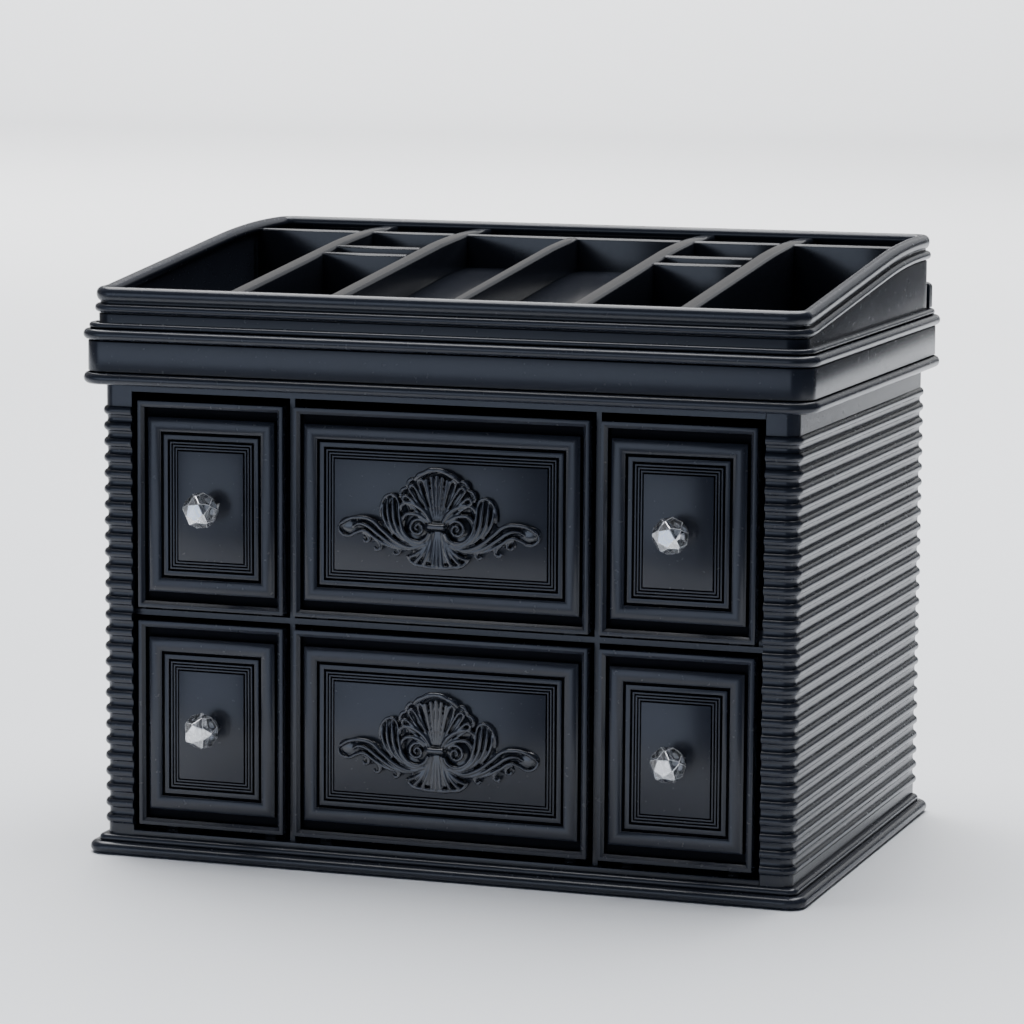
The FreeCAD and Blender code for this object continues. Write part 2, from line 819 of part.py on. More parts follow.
def drawer(row, column, x, bottom, width, limits):
    """A drawer: its front, its box, and either an ornament or a knob with its screw."""
    label = "%s_%s" % (row, column)
    middle = bottom + d.front_height / 2
    front = front_body(label + "_drawer_front", x, bottom, width)
    box_body = drawer_box(label + "_drawer_box", limits, bottom)
    if column == "centre":
        node(label + "_drawer_front", front)
        node(label + "_drawer_box", box_body)
        node(row + "_shell_ornament", ornament(row, x, middle))
        return
    head_y = box_y + d.box_wall
    reach = head_y - field_y + d.screw_reach
    drill_length = reach + d.run_clearance
    drill = rod(label + "_drill", d.screw_hole_radius, drill_length, x, head_y, middle)
    node(label + "_drawer_front", cut(label + "_front_drilled", front, drill))
    node(label + "_drawer_box", cut(label + "_box_drilled", box_body, drill))
    head = doc.addObject("Part::Prism", label + "_screw_head")
    head.Polygon = HEXAGON_SIDES
    bind(head, "Circumradius", d.screw_head_radius)
    bind(head, "Height", d.screw_head_height)
    head.Placement.Rotation = FreeCAD.Rotation(Vector(1, 0, 0), QUARTER_TURN)
    place(head, x, head_y + d.screw_head_height, middle)
    shank = rod(label + "_shank", d.screw_radius, reach, x, head_y, middle)
    node(label + "_knob_screw", fuse(label + "_screw", head, shank))
    node(label + "_knob", knob(label, x, middle))


def drawer_box(label, limits, bottom):
    """An open box with round corners, carried behind its front."""
    left, right = limits
    width = right - left
    centre = left + width / 2
    body = doc.addObject("PartDesign::Body", label + "_body")
    mid_y = box_y + box_depth / 2
    outline = new_sketch(body, label + "_outline", "XY_Plane", bottom, centre, mid_y)
    add_rectangle(outline, width, box_depth)
    pad(body, label + "_pad", outline, box_height)
    bevel_edges(body, label + "_corners", d.box_corner, is_upright)
    mouth = new_sketch(body, label + "_mouth", "XY_Plane", bottom + box_height, centre, mid_y)
    add_rectangle(mouth, width - d.box_wall * 2, box_depth - d.box_wall * 2)
    pocket(body, label + "_hollow", mouth, box_height - d.box_floor)
    return body


def faceted(polygons):
    """A solid from flat faces that close round it."""
    faces = [Part.Face(Part.makePolygon(list(points) + [points[0]])) for points in polygons]
    skin = Part.makeCompound(faces)
    skin.sewShape()
    solid = Part.makeSolid(Part.makeShell(skin.Faces))
    if solid.Volume < 0:
        solid.reverse()
    return solid


def knob(label, x, middle):
    """A cut crystal knob with a blind hole for its screw."""
    facets = int(d.knob_facets.number)
    step = 2 * math.pi / facets
    rings = []
    for along, wide, turned in KNOB_RING_SHARES:
        radius = float(d.knob_radius) * wide
        height = float(d.knob_length) * along
        lead = step / 2 if turned else 0
        angles = [lead + step * i for i in range(facets)]
        rings.append([Vector(radius * math.cos(a), radius * math.sin(a), height) for a in angles])
    polygons = [list(reversed(rings[0])), rings[-1]]
    for lower, upper, low_share, high_share in zip(rings, rings[1:], KNOB_RING_SHARES, KNOB_RING_SHARES[1:]):
        shift = (1 if low_share[2] else 0) if low_share[2] != high_share[2] else 0
        for i in range(facets):
            after = (i + 1) % facets
            if low_share[2] == high_share[2]:
                polygons.append([lower[i], lower[after], upper[after], upper[i]])
            else:
                polygons.append([lower[i], lower[after], upper[(i + shift) % facets]])
                polygons.append([lower[after], upper[(after + shift) % facets], upper[(i + shift) % facets]])
    stone = faceted(polygons)
    bore_depth = float(d.screw_reach + d.run_clearance)
    stone = stone.cut(Part.makeCylinder(float(d.screw_hole_radius), bore_depth))
    thing = wire_part(label + "_stone", stone)
    thing.Placement = FreeCAD.Placement(Vector(), FreeCAD.Rotation(Vector(1, 0, 0), QUARTER_TURN))
    return place(thing, x, field_y, middle)


def fan(count, spread, reach, shrink, turn):
    """A pleated fan: ridges and valleys that spread from the ornament's bar."""
    relief = float(d.ornament_relief)
    hub = float(d.ornament_height) * FAN_HUB_SHARE
    low = []
    inner = []
    outer = []
    for ray in range(2 * count + 1):
        angle = math.radians(spread) * (ray / count - 1)
        ridge = ray % 2 == 1
        shares = RIDGE_SHARES if ridge else VALLEY_SHARES
        length = reach * (1 - shrink * (ray / count - 1) ** 2)
        if not ridge:
            length = length * VALLEY_REACH_SHARE
        way = Vector(math.sin(angle), math.cos(angle) * turn, 0)
        low.append((way * hub, way * length))
        inner.append(way * hub + Vector(0, 0, relief * shares[0]))
        outer.append(way * length + Vector(0, 0, relief * shares[1]))
    polygons = [[foot[0] for foot in low] + [foot[1] for foot in reversed(low)]]
    for ray in range(2 * count):
        polygons.append([inner[ray], outer[ray], outer[ray + 1]])
        polygons.append([inner[ray], outer[ray + 1], inner[ray + 1]])
        polygons.append([low[ray][1], low[ray + 1][1], outer[ray + 1], outer[ray]])
        polygons.append([low[ray][0], inner[ray], inner[ray + 1], low[ray + 1][0]])
    for ray in (0, 2 * count):
        polygons.append([low[ray][0], low[ray][1], outer[ray], inner[ray]])
    return faceted(polygons)


def leaf(shares, side):
    """A ridged leaf along a curved spine, flat on the drawer front."""
    half_width = float(d.ornament_width) / 2
    height = float(d.ornament_height)
    relief = float(d.ornament_relief)
    spine = [Vector(side * half_width * x, height * z, 0) for x, z, _, _ in shares]
    sections = []
    for i, (_, _, wide, rise) in enumerate(shares):
        before = spine[max(i - 1, 0)]
        after = spine[min(i + 1, len(spine) - 1)]
        way = (after - before).normalize()
        across = Vector(-way.y, way.x, 0) * (height * wide)
        crest = Vector(0, 0, relief * rise)
        shoulder = across * SHOULDER_WIDTH_SHARE
        lift = crest * SHOULDER_RISE_SHARE
        point = spine[i]
        section = [point - across, point - shoulder + lift, point + crest]
        sections.append(section + [point + shoulder + lift, point + across])
    polygons = [list(sections[0]), list(sections[-1])]
    polygons.append([s[0] for s in sections] + [s[-1] for s in reversed(sections)])
    for first, second in zip(sections, sections[1:]):
        for i in range(len(first) - 1):
            polygons.append([first[i], first[i + 1], second[i + 1]])
            polygons.append([first[i], second[i + 1], second[i]])
    return faceted(polygons)


def button(spot, radius, rise):
    """An eight-sided button with sloped sides."""
    step = 2 * math.pi / OCTAGON_SIDES
    ways = [Vector(math.cos(step * i), math.sin(step * i), 0) for i in range(OCTAGON_SIDES)]
    low = [spot + way * radius for way in ways]
    high = [spot + way * (radius * VOLUTE_TOP_SHARE) + Vector(0, 0, rise) for way in ways]
    polygons = [low, high]
    for i in range(OCTAGON_SIDES):
        after = (i + 1) % OCTAGON_SIDES
        polygons.append([low[i], low[after], high[after], high[i]])
    return faceted(polygons)


def ornament(row, x, middle):
    """A shell over a skirt, between two volutes, with leaves to each side."""
    height = float(d.ornament_height)
    relief = float(d.ornament_relief)
    half_width = float(d.ornament_width) / 2
    shell_count = int(d.shell_flutes.number)
    skirt_count = int(d.skirt_flutes.number)
    shell = fan(shell_count, SHELL_ANGLE, height * SHELL_REACH_SHARE, SHELL_SHRINK_SHARE, 1)
    skirt = fan(skirt_count, SKIRT_ANGLE, height * SKIRT_REACH_SHARE, SKIRT_SHRINK_SHARE, -1)
    bar_x = half_width * BAR_SHARES[0]
    bar_y = height * BAR_SHARES[1] * 2
    bar = Part.makeBox(2 * bar_x, 2 * bar_y, relief * BAR_SHARES[2], Vector(-bar_x, -bar_y, 0))
    pieces = [skirt, bar]
    for side in (-1, 1):
        spot = Vector(side * half_width * VOLUTE_PLACE_SHARES[0], height * VOLUTE_PLACE_SHARES[1], 0)
        pieces.append(button(spot, height * VOLUTE_RADIUS_SHARE, relief * VOLUTE_RISE_SHARE))
        pieces.extend(leaf(shares, side) for shares in LEAVES)
    carving = shell.multiFuse(pieces).removeSplitter()
    thing = wire_part(row + "_carving", carving.Solids[0])
    thing.Placement = FreeCAD.Placement(Vector(), FreeCAD.Rotation(Vector(1, 0, 0), QUARTER_TURN))
    return place(thing, x, field_y, middle - d.ornament_lift)


def tray_cornice():
    """The moulded frame under the tray: beads at foot and head, a plain fascia between."""
    bead_x = fascia_half_x + d.cornice_bead_rise
    bead_y = fascia_half_y + d.cornice_bead_rise
    bead_corner = d.cornice_corner + d.cornice_bead_rise
    neck_x = fascia_half_x - d.cornice_neck_inset
    neck_y = fascia_half_y - d.cornice_neck_inset
    neck_corner = d.cornice_corner - d.cornice_neck_inset
    small_x = fascia_half_x - d.cornice_small_inset
    small_y = fascia_half_y - d.cornice_small_inset
    small_corner = d.cornice_corner - d.cornice_small_inset
    core_bottom = body_top + d.cornice_foot_bead / 2
    core_top = fascia_top + d.cornice_head_bead / 2
    core = plate("cornice_core", fascia_half_x, fascia_half_y, core_bottom, core_top, d.cornice_corner)
    foot = plate("cornice_foot", bead_x, bead_y, body_top, fascia_bottom, bead_corner, True)
    head = plate("cornice_head", bead_x, bead_y, fascia_top, small_bead_bottom, bead_corner, True)
    neck = plate("cornice_neck", neck_x, neck_y, core_top, cornice_top, neck_corner)
    small = plate("cornice_small", small_x, small_y, small_bead_bottom, cornice_top, small_corner, True)
    solid = fuse("cornice_solid", core, foot, head, neck, small)
    well_x = fascia_half_x - d.cornice_wall
    well_y = fascia_half_y - d.cornice_wall
    well_corner = d.cornice_corner - d.cornice_wall
    well_top = cornice_top + d.overrun
    well = plate("cornice_well", well_x, well_y, tray_bottom, well_top, well_corner)
    mouth_x = well_x - d.cornice_ledge_width
    mouth_y = well_y - d.cornice_ledge_width
    mouth = box("cornice_mouth", (-mouth_x, mouth_x), (-mouth_y, mouth_y), (body_top - d.overrun, well_top))
    node("tray_cornice", cut("cornice", solid, well, mouth))


def rim_points(half_x, half_y, front_z, back_z, corner):
    """The corners of the rim's line on the right: level, up a slope, and level again."""
    foot_y = -half_y + corner + d.rim_foot_tangent
    head_y = tray_half_y - d.rim_level_run
    return [
        at(0, -half_y, front_z),
        at(half_x, -half_y, front_z),
        at(half_x, foot_y, front_z),
        at(half_x, head_y, back_z),
        at(half_x, half_y, back_z),
        at(0, half_y, back_z),
    ]


def rim_bead(name, radius, inset, drop):
    """A half-round bead that follows the rim all round."""
    half_x = tray_half_x - inset
    half_y = tray_half_y - inset
    corner = d.tray_corner - inset
    front_z = rim_front - drop
    points = rim_points(half_x, half_y, front_z, rim_back - drop, corner)
    tangents = (corner, d.rim_foot_tangent, d.rim_head_tangent, corner)
    path = wire_part(name + "_path", Part.Wire(rounded_path(points, tangents)))
    section = doc.addObject("Part::RegularPolygon", name + "_section")
    section.Polygon = OCTAGON_SIDES
    bind(section, "Circumradius", radius / OCTAGON_FLAT_SHARE)
    flat_turn = FreeCAD.Rotation(Vector(0, 0, 1), QUARTER_TURN / 4)
    section.Placement.Rotation = FreeCAD.Rotation(Vector(0, 1, 0), QUARTER_TURN) * flat_turn
    place(section, 0.0, -half_y, front_z)
    tube = doc.addObject("Part::Sweep", name + "_tube")
    tube.Sections = [section]
    tube.Spine = (path, ["Edge%d" % (i + 1) for i in range(len(path.Shape.Edges))])
    tube.Solid = True
    return tube, mirror(name + "_twin", tube)


def above_rim(name, drop):
    """All the space above the rim's line, lowered by a drop."""
    corner = d.tray_corner - d.rim_bead_inset
    half_y = tray_half_y - d.rim_bead_inset
    line = rim_points(tray_half_x, half_y, rim_front - drop, rim_back - drop, corner)[1:5]
    reach = float(d.overrun)
    line[0].y = line[0].y - reach
    line[3].y = line[3].y + reach
    top_z = float(rim_back + d.overrun)
    edges = rounded_path(line, (d.rim_foot_tangent, d.rim_head_tangent))
    back_top = Vector(line[3].x, line[3].y, top_z)
    front_top = Vector(line[0].x, line[0].y, top_z)
    edges.append(Part.LineSegment(line[3], back_top).toShape())
    edges.append(Part.LineSegment(back_top, front_top).toShape())
    edges.append(Part.LineSegment(front_top, line[0]).toShape())
    face = Part.Face(Part.Wire(edges))
    reach_x = float(tray_half_x + d.overrun)
    face.translate(Vector(reach_x - line[0].x, 0, 0))
    return wire_part(name, face.extrude(Vector(-2 * reach_x, 0, 0)))


def organizer_tray():
    """The tray's walls under a sloped rim, its flange on the cornice and its rear lugs."""
    top = rim_back + d.overrun
    walls = plate("tray_walls", tray_half_x, tray_half_y, tray_bottom, top, d.tray_corner)
    flange_x = tray_half_x + d.tray_flange_reach
    flange_y = tray_half_y + d.tray_flange_reach
    flange_top = cornice_top + d.tray_flange
    flange_corner = d.tray_corner + d.tray_flange_reach
    flange = plate("tray_flange", flange_x, flange_y, cornice_top, flange_top, flange_corner)
    bead_centre = d.rim_bead_radius
    sloped = cut("tray_sloped", walls, above_rim("tray_slope", bead_centre))
    beads = rim_bead("rim_bead", d.rim_bead_radius, d.rim_bead_inset, bead_centre)
    second_drop = bead_centre + d.second_bead_drop
    second = rim_bead("second_bead", d.second_bead_radius, d.second_bead_inset, second_drop)
    lugs = rear_lugs()
    solid = fuse("tray_solid", sloped, flange, *beads, *second, *lugs)
    bin_corner = d.tray_corner - d.tray_wall
    hollow = plate("tray_hollow", bin_half_x, bin_half_y, bin_floor, top, bin_corner)
    node("organizer_tray", cut("tray", solid, hollow))


def rear_lugs():
    """A round-topped lug at each back corner, standing on the cornice."""
    body = doc.addObject("PartDesign::Body", "rear_lug")
    centre_x = tray_half_x - d.lug_width / 2
    middle_z = cornice_top + d.lug_height / 2
    lug_y = tray_half_y + d.lug_reach
    sketch = new_sketch(body, "lug_outline", "XZ_Plane", -lug_y, centre_x, middle_z)
    add_rectangle(sketch, d.lug_width, d.lug_height)
    pad(body, "lug_pad", sketch, d.lug_reach + d.tray_wall / 2)
    head_z = float(cornice_top + d.lug_height)

    def at_head(edge):
        limits = edge.BoundBox
        return abs(limits.ZMin - head_z) < NEAR and limits.XLength < NEAR

    round_edges(body, "lug_rounding", d.lug_round, at_head)
    return body, mirror("rear_lug_twin", body)


def partition_places():
    """The middle of each long partition, left to right, with its thickness."""
    first = bin_half_x - d.outer_bin_width - d.wide_partition / 2
    second = d.middle_bin_width + d.narrow_partition / 2 + d.wide_partition / 2
    return (
        ("far_left", -first, d.wide_partition),
        ("left", -second, d.wide_partition),
        ("middle", d.wide_partition * 0, d.narrow_partition),
        ("right", second, d.wide_partition),
        ("far_right", first, d.wide_partition),
    )


def bevelled_top(label, solid, along):
    """Take off the upper edges of a partition that run along an axis."""
    doc.recompute()
    size = float(d.partition_bevel)
    top = solid.Shape.BoundBox.ZMax
    floor = solid.Shape.BoundBox.ZMin
    edges = []
    for i, edge in enumerate(solid.Shape.Edges):
        limits = edge.BoundBox
        lengthwise = limits.XLength < NEAR if along == "y" else limits.YLength < NEAR
        spread = limits.YLength if along == "y" else limits.XLength
        if lengthwise and spread > size and limits.ZMin > (top + floor) / 2:
            edges.append((i + 1, size, size))
    feature = doc.addObject("Part::Chamfer", label + "_bevelled")
    feature.Base = solid
    feature.Edges = edges
    return node(label, feature)


def tray_partitions():
    """Five long partitions, the back row's wall, the bins' short walls, two raised floors."""
    slope = above_rim("partition_slope", d.partition_drop)
    low = bin_floor
    high = rim_back
    cross_y = bin_half_y - d.back_row_depth
    cross = (cross_y - d.cross_wall, cross_y)
    places = partition_places()
    for name, x, thick in places:
        end = cross[0] if name == "middle" else bin_half_y
        label = name + "_partition"
        block = box(label + "_block", (x - thick / 2, x + thick / 2), (-bin_half_y, end), (low, high))
        bevelled_top(label, cut(label + "_cut", block, slope), "y")
    faces = {name: (x - thick / 2, x + thick / 2) for name, x, thick in places}
    spans = {
        "far_left": (-bin_half_x, faces["far_left"][0]),
        "left": (faces["far_left"][1], faces["left"][0]),
        "middle": (faces["left"][1], faces["right"][0]),
        "right": (faces["right"][1], faces["far_right"][0]),
        "far_right": (faces["far_right"][1], bin_half_x),
    }
    for name, span in spans.items():
        cross_partition(name + "_cross_partition", span, cross, slope)
    slot_back = cross[0] - d.small_bin_depth
    slot_front = slot_back - d.cross_wall - d.slot_depth
    for name in ("left", "right"):
        wall = (slot_back - d.cross_wall, slot_back)
        cross_partition(name + "_small_bin_wall", spans[name], wall, slope)
        wall = (slot_front - d.cross_wall, slot_front)
        cross_partition(name + "_deep_bin_wall", spans[name], wall, slope)
    raised_floor("left_display_floor", (faces["left"][1], faces["middle"][0]), cross[0])
    raised_floor("right_display_floor", (faces["middle"][1], faces["right"][0]), cross[0])


def cross_partition(label, span_x, span_y, slope):
    block = box(label + "_block", span_x, span_y, (bin_floor, rim_back))
    return bevelled_top(label, cut(label + "_cut", block, slope), "x")


def raised_floor(label, span_x, end):
    """A sloped display floor on its own walls, open underneath."""
    gap = d.fit_clearance
    span_x = (span_x[0] + gap, span_x[1] - gap)
    span_y = (-bin_half_y + gap, end - gap)
    block = box(label + "_block", span_x, span_y, (bin_floor, rim_back))
    face_drop = d.partition_drop + d.display_depth
    outer = cut(label + "_outer", block, above_rim(label + "_face", face_drop))
    wall = d.display_wall
    core_x = (span_x[0] + wall, span_x[1] - wall)
    core_y = (span_y[0] + wall, span_y[1] - wall)
    core = box(label + "_core", core_x, core_y, (bin_floor - d.overrun, rim_back))
    inner = cut(label + "_inner", core, above_rim(label + "_under", face_drop + wall))
    return node(label, cut(label + "_shell", outer, inner))


def drawers():
    """Two rows of three drawers."""
    left, centre, right = box_limits()
    for row, bottom in (("lower", lower_bottom), ("upper", upper_bottom)):
        drawer(row, "left", -side_front_centre, bottom, d.side_front_width, left)
        drawer(row, "centre", side_front_centre * 0, bottom, d.centre_front_width, centre)
        drawer(row, "right", side_front_centre, bottom, d.side_front_width, right)


def check_document():
    """Stop on any object that failed, and on any sub-part that is empty or not valid."""
    for thing in doc.Objects:
        if {"Invalid", "Error"} & set(thing.State):
            raise RuntimeError("%s failed: %s" % (thing.Label, thing.State))
    for label, thing in nodes.items():
        shape = thing.Shape
        if shape.isNull() or not shape.isValid() or not shape.Solids:
            raise RuntimeError("%s is empty or not valid" % label)


def write_parts():
    os.makedirs("parts", exist_ok=True)
    for label, thing in nodes.items():
        thing.Shape.exportStep("parts/%s.step" % label)


base_plinth()
side_panels()
cabinet_plates()
drawers()
tray_cornice()
organizer_tray()
tray_partitions()
doc.recompute()
check_document()
write_parts()
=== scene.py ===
import json
import math

import bmesh
import bpy
from bpy.props import FloatProperty, FloatVectorProperty, IntProperty, PointerProperty
from mathutils import Matrix, Vector

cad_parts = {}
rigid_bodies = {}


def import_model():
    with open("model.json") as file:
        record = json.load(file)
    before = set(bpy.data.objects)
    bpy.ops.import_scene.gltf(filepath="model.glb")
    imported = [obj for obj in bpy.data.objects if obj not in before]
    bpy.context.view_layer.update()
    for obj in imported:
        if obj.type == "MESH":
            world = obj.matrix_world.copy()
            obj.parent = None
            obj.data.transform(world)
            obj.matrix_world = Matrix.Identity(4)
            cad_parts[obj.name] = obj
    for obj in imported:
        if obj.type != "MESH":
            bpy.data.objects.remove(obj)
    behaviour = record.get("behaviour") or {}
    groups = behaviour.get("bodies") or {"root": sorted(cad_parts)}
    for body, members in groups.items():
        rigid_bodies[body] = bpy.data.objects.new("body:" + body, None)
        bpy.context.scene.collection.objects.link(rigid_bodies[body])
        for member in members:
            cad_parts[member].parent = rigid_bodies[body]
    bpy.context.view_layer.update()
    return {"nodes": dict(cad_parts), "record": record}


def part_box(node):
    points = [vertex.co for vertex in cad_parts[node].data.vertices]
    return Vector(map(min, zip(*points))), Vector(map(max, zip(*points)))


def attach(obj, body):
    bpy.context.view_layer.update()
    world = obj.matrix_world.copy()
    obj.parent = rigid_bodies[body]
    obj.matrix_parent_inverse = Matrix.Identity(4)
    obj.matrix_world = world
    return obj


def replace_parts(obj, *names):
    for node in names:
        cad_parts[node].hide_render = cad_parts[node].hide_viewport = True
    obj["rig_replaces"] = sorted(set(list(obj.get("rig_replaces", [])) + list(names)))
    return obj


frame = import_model()

bl_info = {
    "name": "Vanity organizer",
    "version": (1, 0, 0),
    "blender": (4, 5, 0),
    "location": "View3D > Sidebar > Vanity",
    "description": "Models a ribbed vanity organizer with panelled drawers and an open tray",
    "category": "Object",
}

MM = 0.001
ROWS = ("lower", "upper")
COLUMNS = ("left", "centre", "right")
CABINET = "cabinet"
X = 0
Y = 1
Z = 2
# Distances in metres at which points merge, count as lying at a place, and are cut
MERGE = 1e-6
NEAR = 1e-5
EXACT = 1e-7
# Angles between faces up to which they count as one flat, are shaded smooth, and keep their edge unrounded
FLAT = math.radians(0.5)
SMOOTH = math.radians(40)
SHARP = math.radians(60)
QUARTER = math.pi / 2
CORNER_STEPS = 10
EDGE_SEGMENTS = 2
TOP_SEGMENTS = 4
# How far a face's normal leans to an axis for the face to count as facing up, or as facing that axis
FACES_UP = 0.7
FACES_AXIS = 0.9


# Settings that a user would change

class VanityPlastic(bpy.types.PropertyGroup):
    """The black plastic of the cabinet and its tray."""

    colour: FloatVectorProperty(
        name="Colour", description="Base colour of the plastic", subtype="COLOR",
        size=3, min=0.0, max=1.0, default=(0.0165, 0.0195, 0.0285))
    roughness: FloatProperty(
        name="Roughness", description="Middle roughness of the satin face",
        subtype="FACTOR", min=0.0, max=1.0, default=0.26)
    sheen: FloatProperty(
        name="Sheen", description="Strength of the mirrored light", subtype="FACTOR",
        min=0.0, max=1.0, default=0.45)
    grain: FloatProperty(
        name="Grain", description="Height of the fine moulded grain",
        unit="LENGTH", min=0.0, default=0.00004)
    # Painted shade: points that other faces crowd this closely get a darker colour and a weaker sheen.
    crevice_shade: FloatProperty(
        name="Crevice", description="How near another face must be to dull a point",
        unit="LENGTH", min=0.0, default=1.6 * MM)


class VanityMoulding(bpy.types.PropertyGroup):
    """The mouldings of the cabinet and the drawer fronts."""

    rib_count: IntProperty(
        name="Ribs", description="Ribs on each side panel", min=2, default=27)
    rib_width: FloatProperty(
        name="Rib width", description="Width of a rib at its foot",
        unit="LENGTH", default=4.0 * MM)
    rib_rise: FloatProperty(
        name="Rib rise", description="How far a rib stands out",
        unit="LENGTH", default=1.4 * MM)
    corner: FloatProperty(
        name="Corner", description="Radius of the side panel's front corner",
        unit="LENGTH", default=5.0 * MM)
    edge: FloatProperty(
        name="Edge", description="Rounding of sharp moulded edges",
        unit="LENGTH", default=0.22 * MM)


class VanityCarving(bpy.types.PropertyGroup):
    """The shell ornament of the middle drawers."""

    flutes: IntProperty(
        name="Flutes", description="Flutes in the middle of the shell", min=3, default=5)
    skirt_flutes: IntProperty(
        name="Skirt flutes", description="Flutes in the middle of the skirt", min=3, default=5)
    voxel: FloatProperty(
        name="Fineness", description="Grid that melts the carving's strands together",
        unit="LENGTH", default=0.30 * MM)


class VanityCrystal(bpy.types.PropertyGroup):
    """The clear cut knobs."""

    mirror: FloatProperty(
        name="Mirror", description="Share of light that the coated facets send straight back",
        subtype="FACTOR", min=0.0, max=1.0, default=0.5)
    clarity: FloatProperty(
        name="Clarity", description="Share of light that passes without being scattered",
        subtype="FACTOR", min=0.0, max=1.0, default=0.90)
    ior: FloatProperty(
        name="Refraction", description="Index of refraction", min=1.0, default=1.60)
    tint: FloatVectorProperty(
        name="Tint", description="Colour of the clear stone", subtype="COLOR",
        size=3, min=0.0, max=1.0, default=(0.97, 0.98, 1.0))


class VanityStage(bpy.types.PropertyGroup):
    """The floor, the light and the camera."""

    floor_colour: FloatVectorProperty(
        name="Floor", description="Colour of the floor", subtype="COLOR",
        size=3, min=0.0, max=1.0, default=(0.88, 0.90, 0.93))
    sky: FloatProperty(
        name="Sky", description="Strength of the even light all round", min=0.0, default=0.45)
    paper: FloatProperty(
        name="Paper", description="Brightness of the pale paper seen past the floor", min=0.0, default=1.8)
    near_sky: FloatVectorProperty(
        name="Near sky", description="Colour of the dim room in front", subtype="COLOR",
        size=3, min=0.0, max=1.0, default=(0.10, 0.115, 0.15))
    far_sky: FloatVectorProperty(
        name="Far sky", description="Colour of the bright wall behind", subtype="COLOR",
        size=3, min=0.0, max=1.0, default=(1.0, 0.98, 0.95))
    window: FloatProperty(
        name="Window", description="Power of the light from behind the left side",
        subtype="POWER", unit="POWER", default=6.0)
    side: FloatProperty(
        name="Side light", description="Power of the light on the right side",
        subtype="POWER", unit="POWER", default=2.5)
    fill: FloatProperty(
        name="Fill", description="Power of the light from the front",
        subtype="POWER", unit="POWER", default=16.0)
    overhead: FloatProperty(
        name="Overhead", description="Power of the wide light above",
        subtype="POWER", unit="POWER", default=160.0)
    backdrop: FloatProperty(
        name="Backdrop", description="Power of the light on the floor far behind",
        subtype="POWER", unit="POWER", default=850.0)
    camera_place: FloatVectorProperty(
        name="Camera", description="Where the camera stands", subtype="TRANSLATION",
        unit="LENGTH", size=3, default=(0.5919, -1.7283, 0.3888))
    camera_yaw: FloatProperty(
        name="Yaw", description="Camera's turn to the left", subtype="ANGLE",
        default=math.radians(19.036))
    camera_pitch: FloatProperty(
        name="Pitch", description="Camera's tilt down", subtype="ANGLE",
        default=math.radians(7.663))
    camera_roll: FloatProperty(
        name="Roll", description="Camera's roll", subtype="ANGLE",
        default=math.radians(-0.383))
    camera_lens: FloatProperty(
        name="Lens", description="Focal length", subtype="DISTANCE_CAMERA", default=147.03)


# Working in edit mode

def object_mode():
    bpy.ops.object.mode_set(mode="OBJECT")


def edit_mode():
    bpy.ops.object.mode_set(mode="EDIT")


def point_mode():
    bpy.ops.mesh.select_mode(type="VERT")


def select_all():
    bpy.ops.mesh.select_all(action="SELECT")


def deselect_all():
    """Close an open mesh, and deselect every object."""
    if bpy.context.object and bpy.context.object.mode != "OBJECT":
        object_mode()
    bpy.ops.object.select_all(action="DESELECT")


def activate(piece):
    """Select one piece alone, and make it the active one."""
    deselect_all()
    piece.select_set(True)
    bpy.context.view_layer.objects.active = piece


def begin(name):
    """Name the primitive that was just added, put its place in its mesh, and open it."""
    piece = bpy.context.object
    piece.name = name
    piece.data.name = name
    bpy.ops.object.transform_apply(location=True, rotation=True, scale=True)
    edit_mode()
    return piece


def pick(kind, wanted):
    """Select the faces, edges or points of the open mesh that a test picks."""
    modes = {"verts": "VERT", "edges": "EDGE", "faces": "FACE"}
    bpy.ops.mesh.select_mode(type=modes[kind])
    bpy.ops.mesh.select_all(action="DESELECT")
    mesh = bpy.context.edit_object.data
    grid = bmesh.from_edit_mesh(mesh)
    for item in getattr(grid, kind):
        if wanted(item):
            item.select_set(True)
    grid.select_flush_mode()
    bmesh.update_edit_mesh(mesh)


def lies_at(axis, place):
    """A test for edges that lie at a place along an axis."""
    return lambda edge: all(abs(point.co[axis] - place) < NEAR for point in edge.verts)


def extrude(move):
    """Draw what is selected out along a move."""
    bpy.ops.mesh.extrude_region_move(TRANSFORM_OT_translate={"value": move})


def cut(place, **options):
    """Cut the whole open mesh at a place along the depth."""
    select_all()
    bpy.ops.mesh.bisect(plane_co=place, plane_no=(0, 1, 0), threshold=EXACT, **options)


def turn_corner(centre):
    """Carry the selected profile round a quarter turn."""
    bpy.ops.mesh.spin(steps=CORNER_STEPS, angle=-QUARTER, center=centre, axis=(0, 0, 1))


def clean_mesh():
    """Merge doubles and turn the faces of a closed shape outwards."""
    point_mode()
    select_all()
    bpy.ops.mesh.remove_doubles(threshold=MERGE)
    bpy.ops.mesh.normals_make_consistent(inside=False)


def move_points(shift):
    """Move each point of the open mesh by what a function of its place gives."""
    mesh = bpy.context.edit_object.data
    grid = bmesh.from_edit_mesh(mesh)
    for point in grid.verts:
        point.co = point.co + shift(point.co)
    bmesh.update_edit_mesh(mesh)


def shade(angle=SMOOTH):
    """Shade the active piece smooth up to an angle between its faces."""
    bpy.ops.object.shade_smooth_by_angle(angle=angle)


def apply_modifier(piece, kind, **values):
    """Add a modifier to the active piece, set its values, and apply it."""
    modifier = piece.modifiers.new(kind.lower(), kind)
    for key, value in values.items():
        setattr(modifier, key, value)
    bpy.ops.object.modifier_apply(modifier=modifier.name)


def soften(piece, width, angle=SMOOTH, smooth=SMOOTH):
    """Round the sharp edges of a finished mesh, and shade the rest smooth."""
    object_mode()
    apply_modifier(piece, "BEVEL", width=width, segments=EDGE_SEGMENTS, limit_method="ANGLE",
                   angle_limit=angle, harden_normals=False)
    shade(smooth)


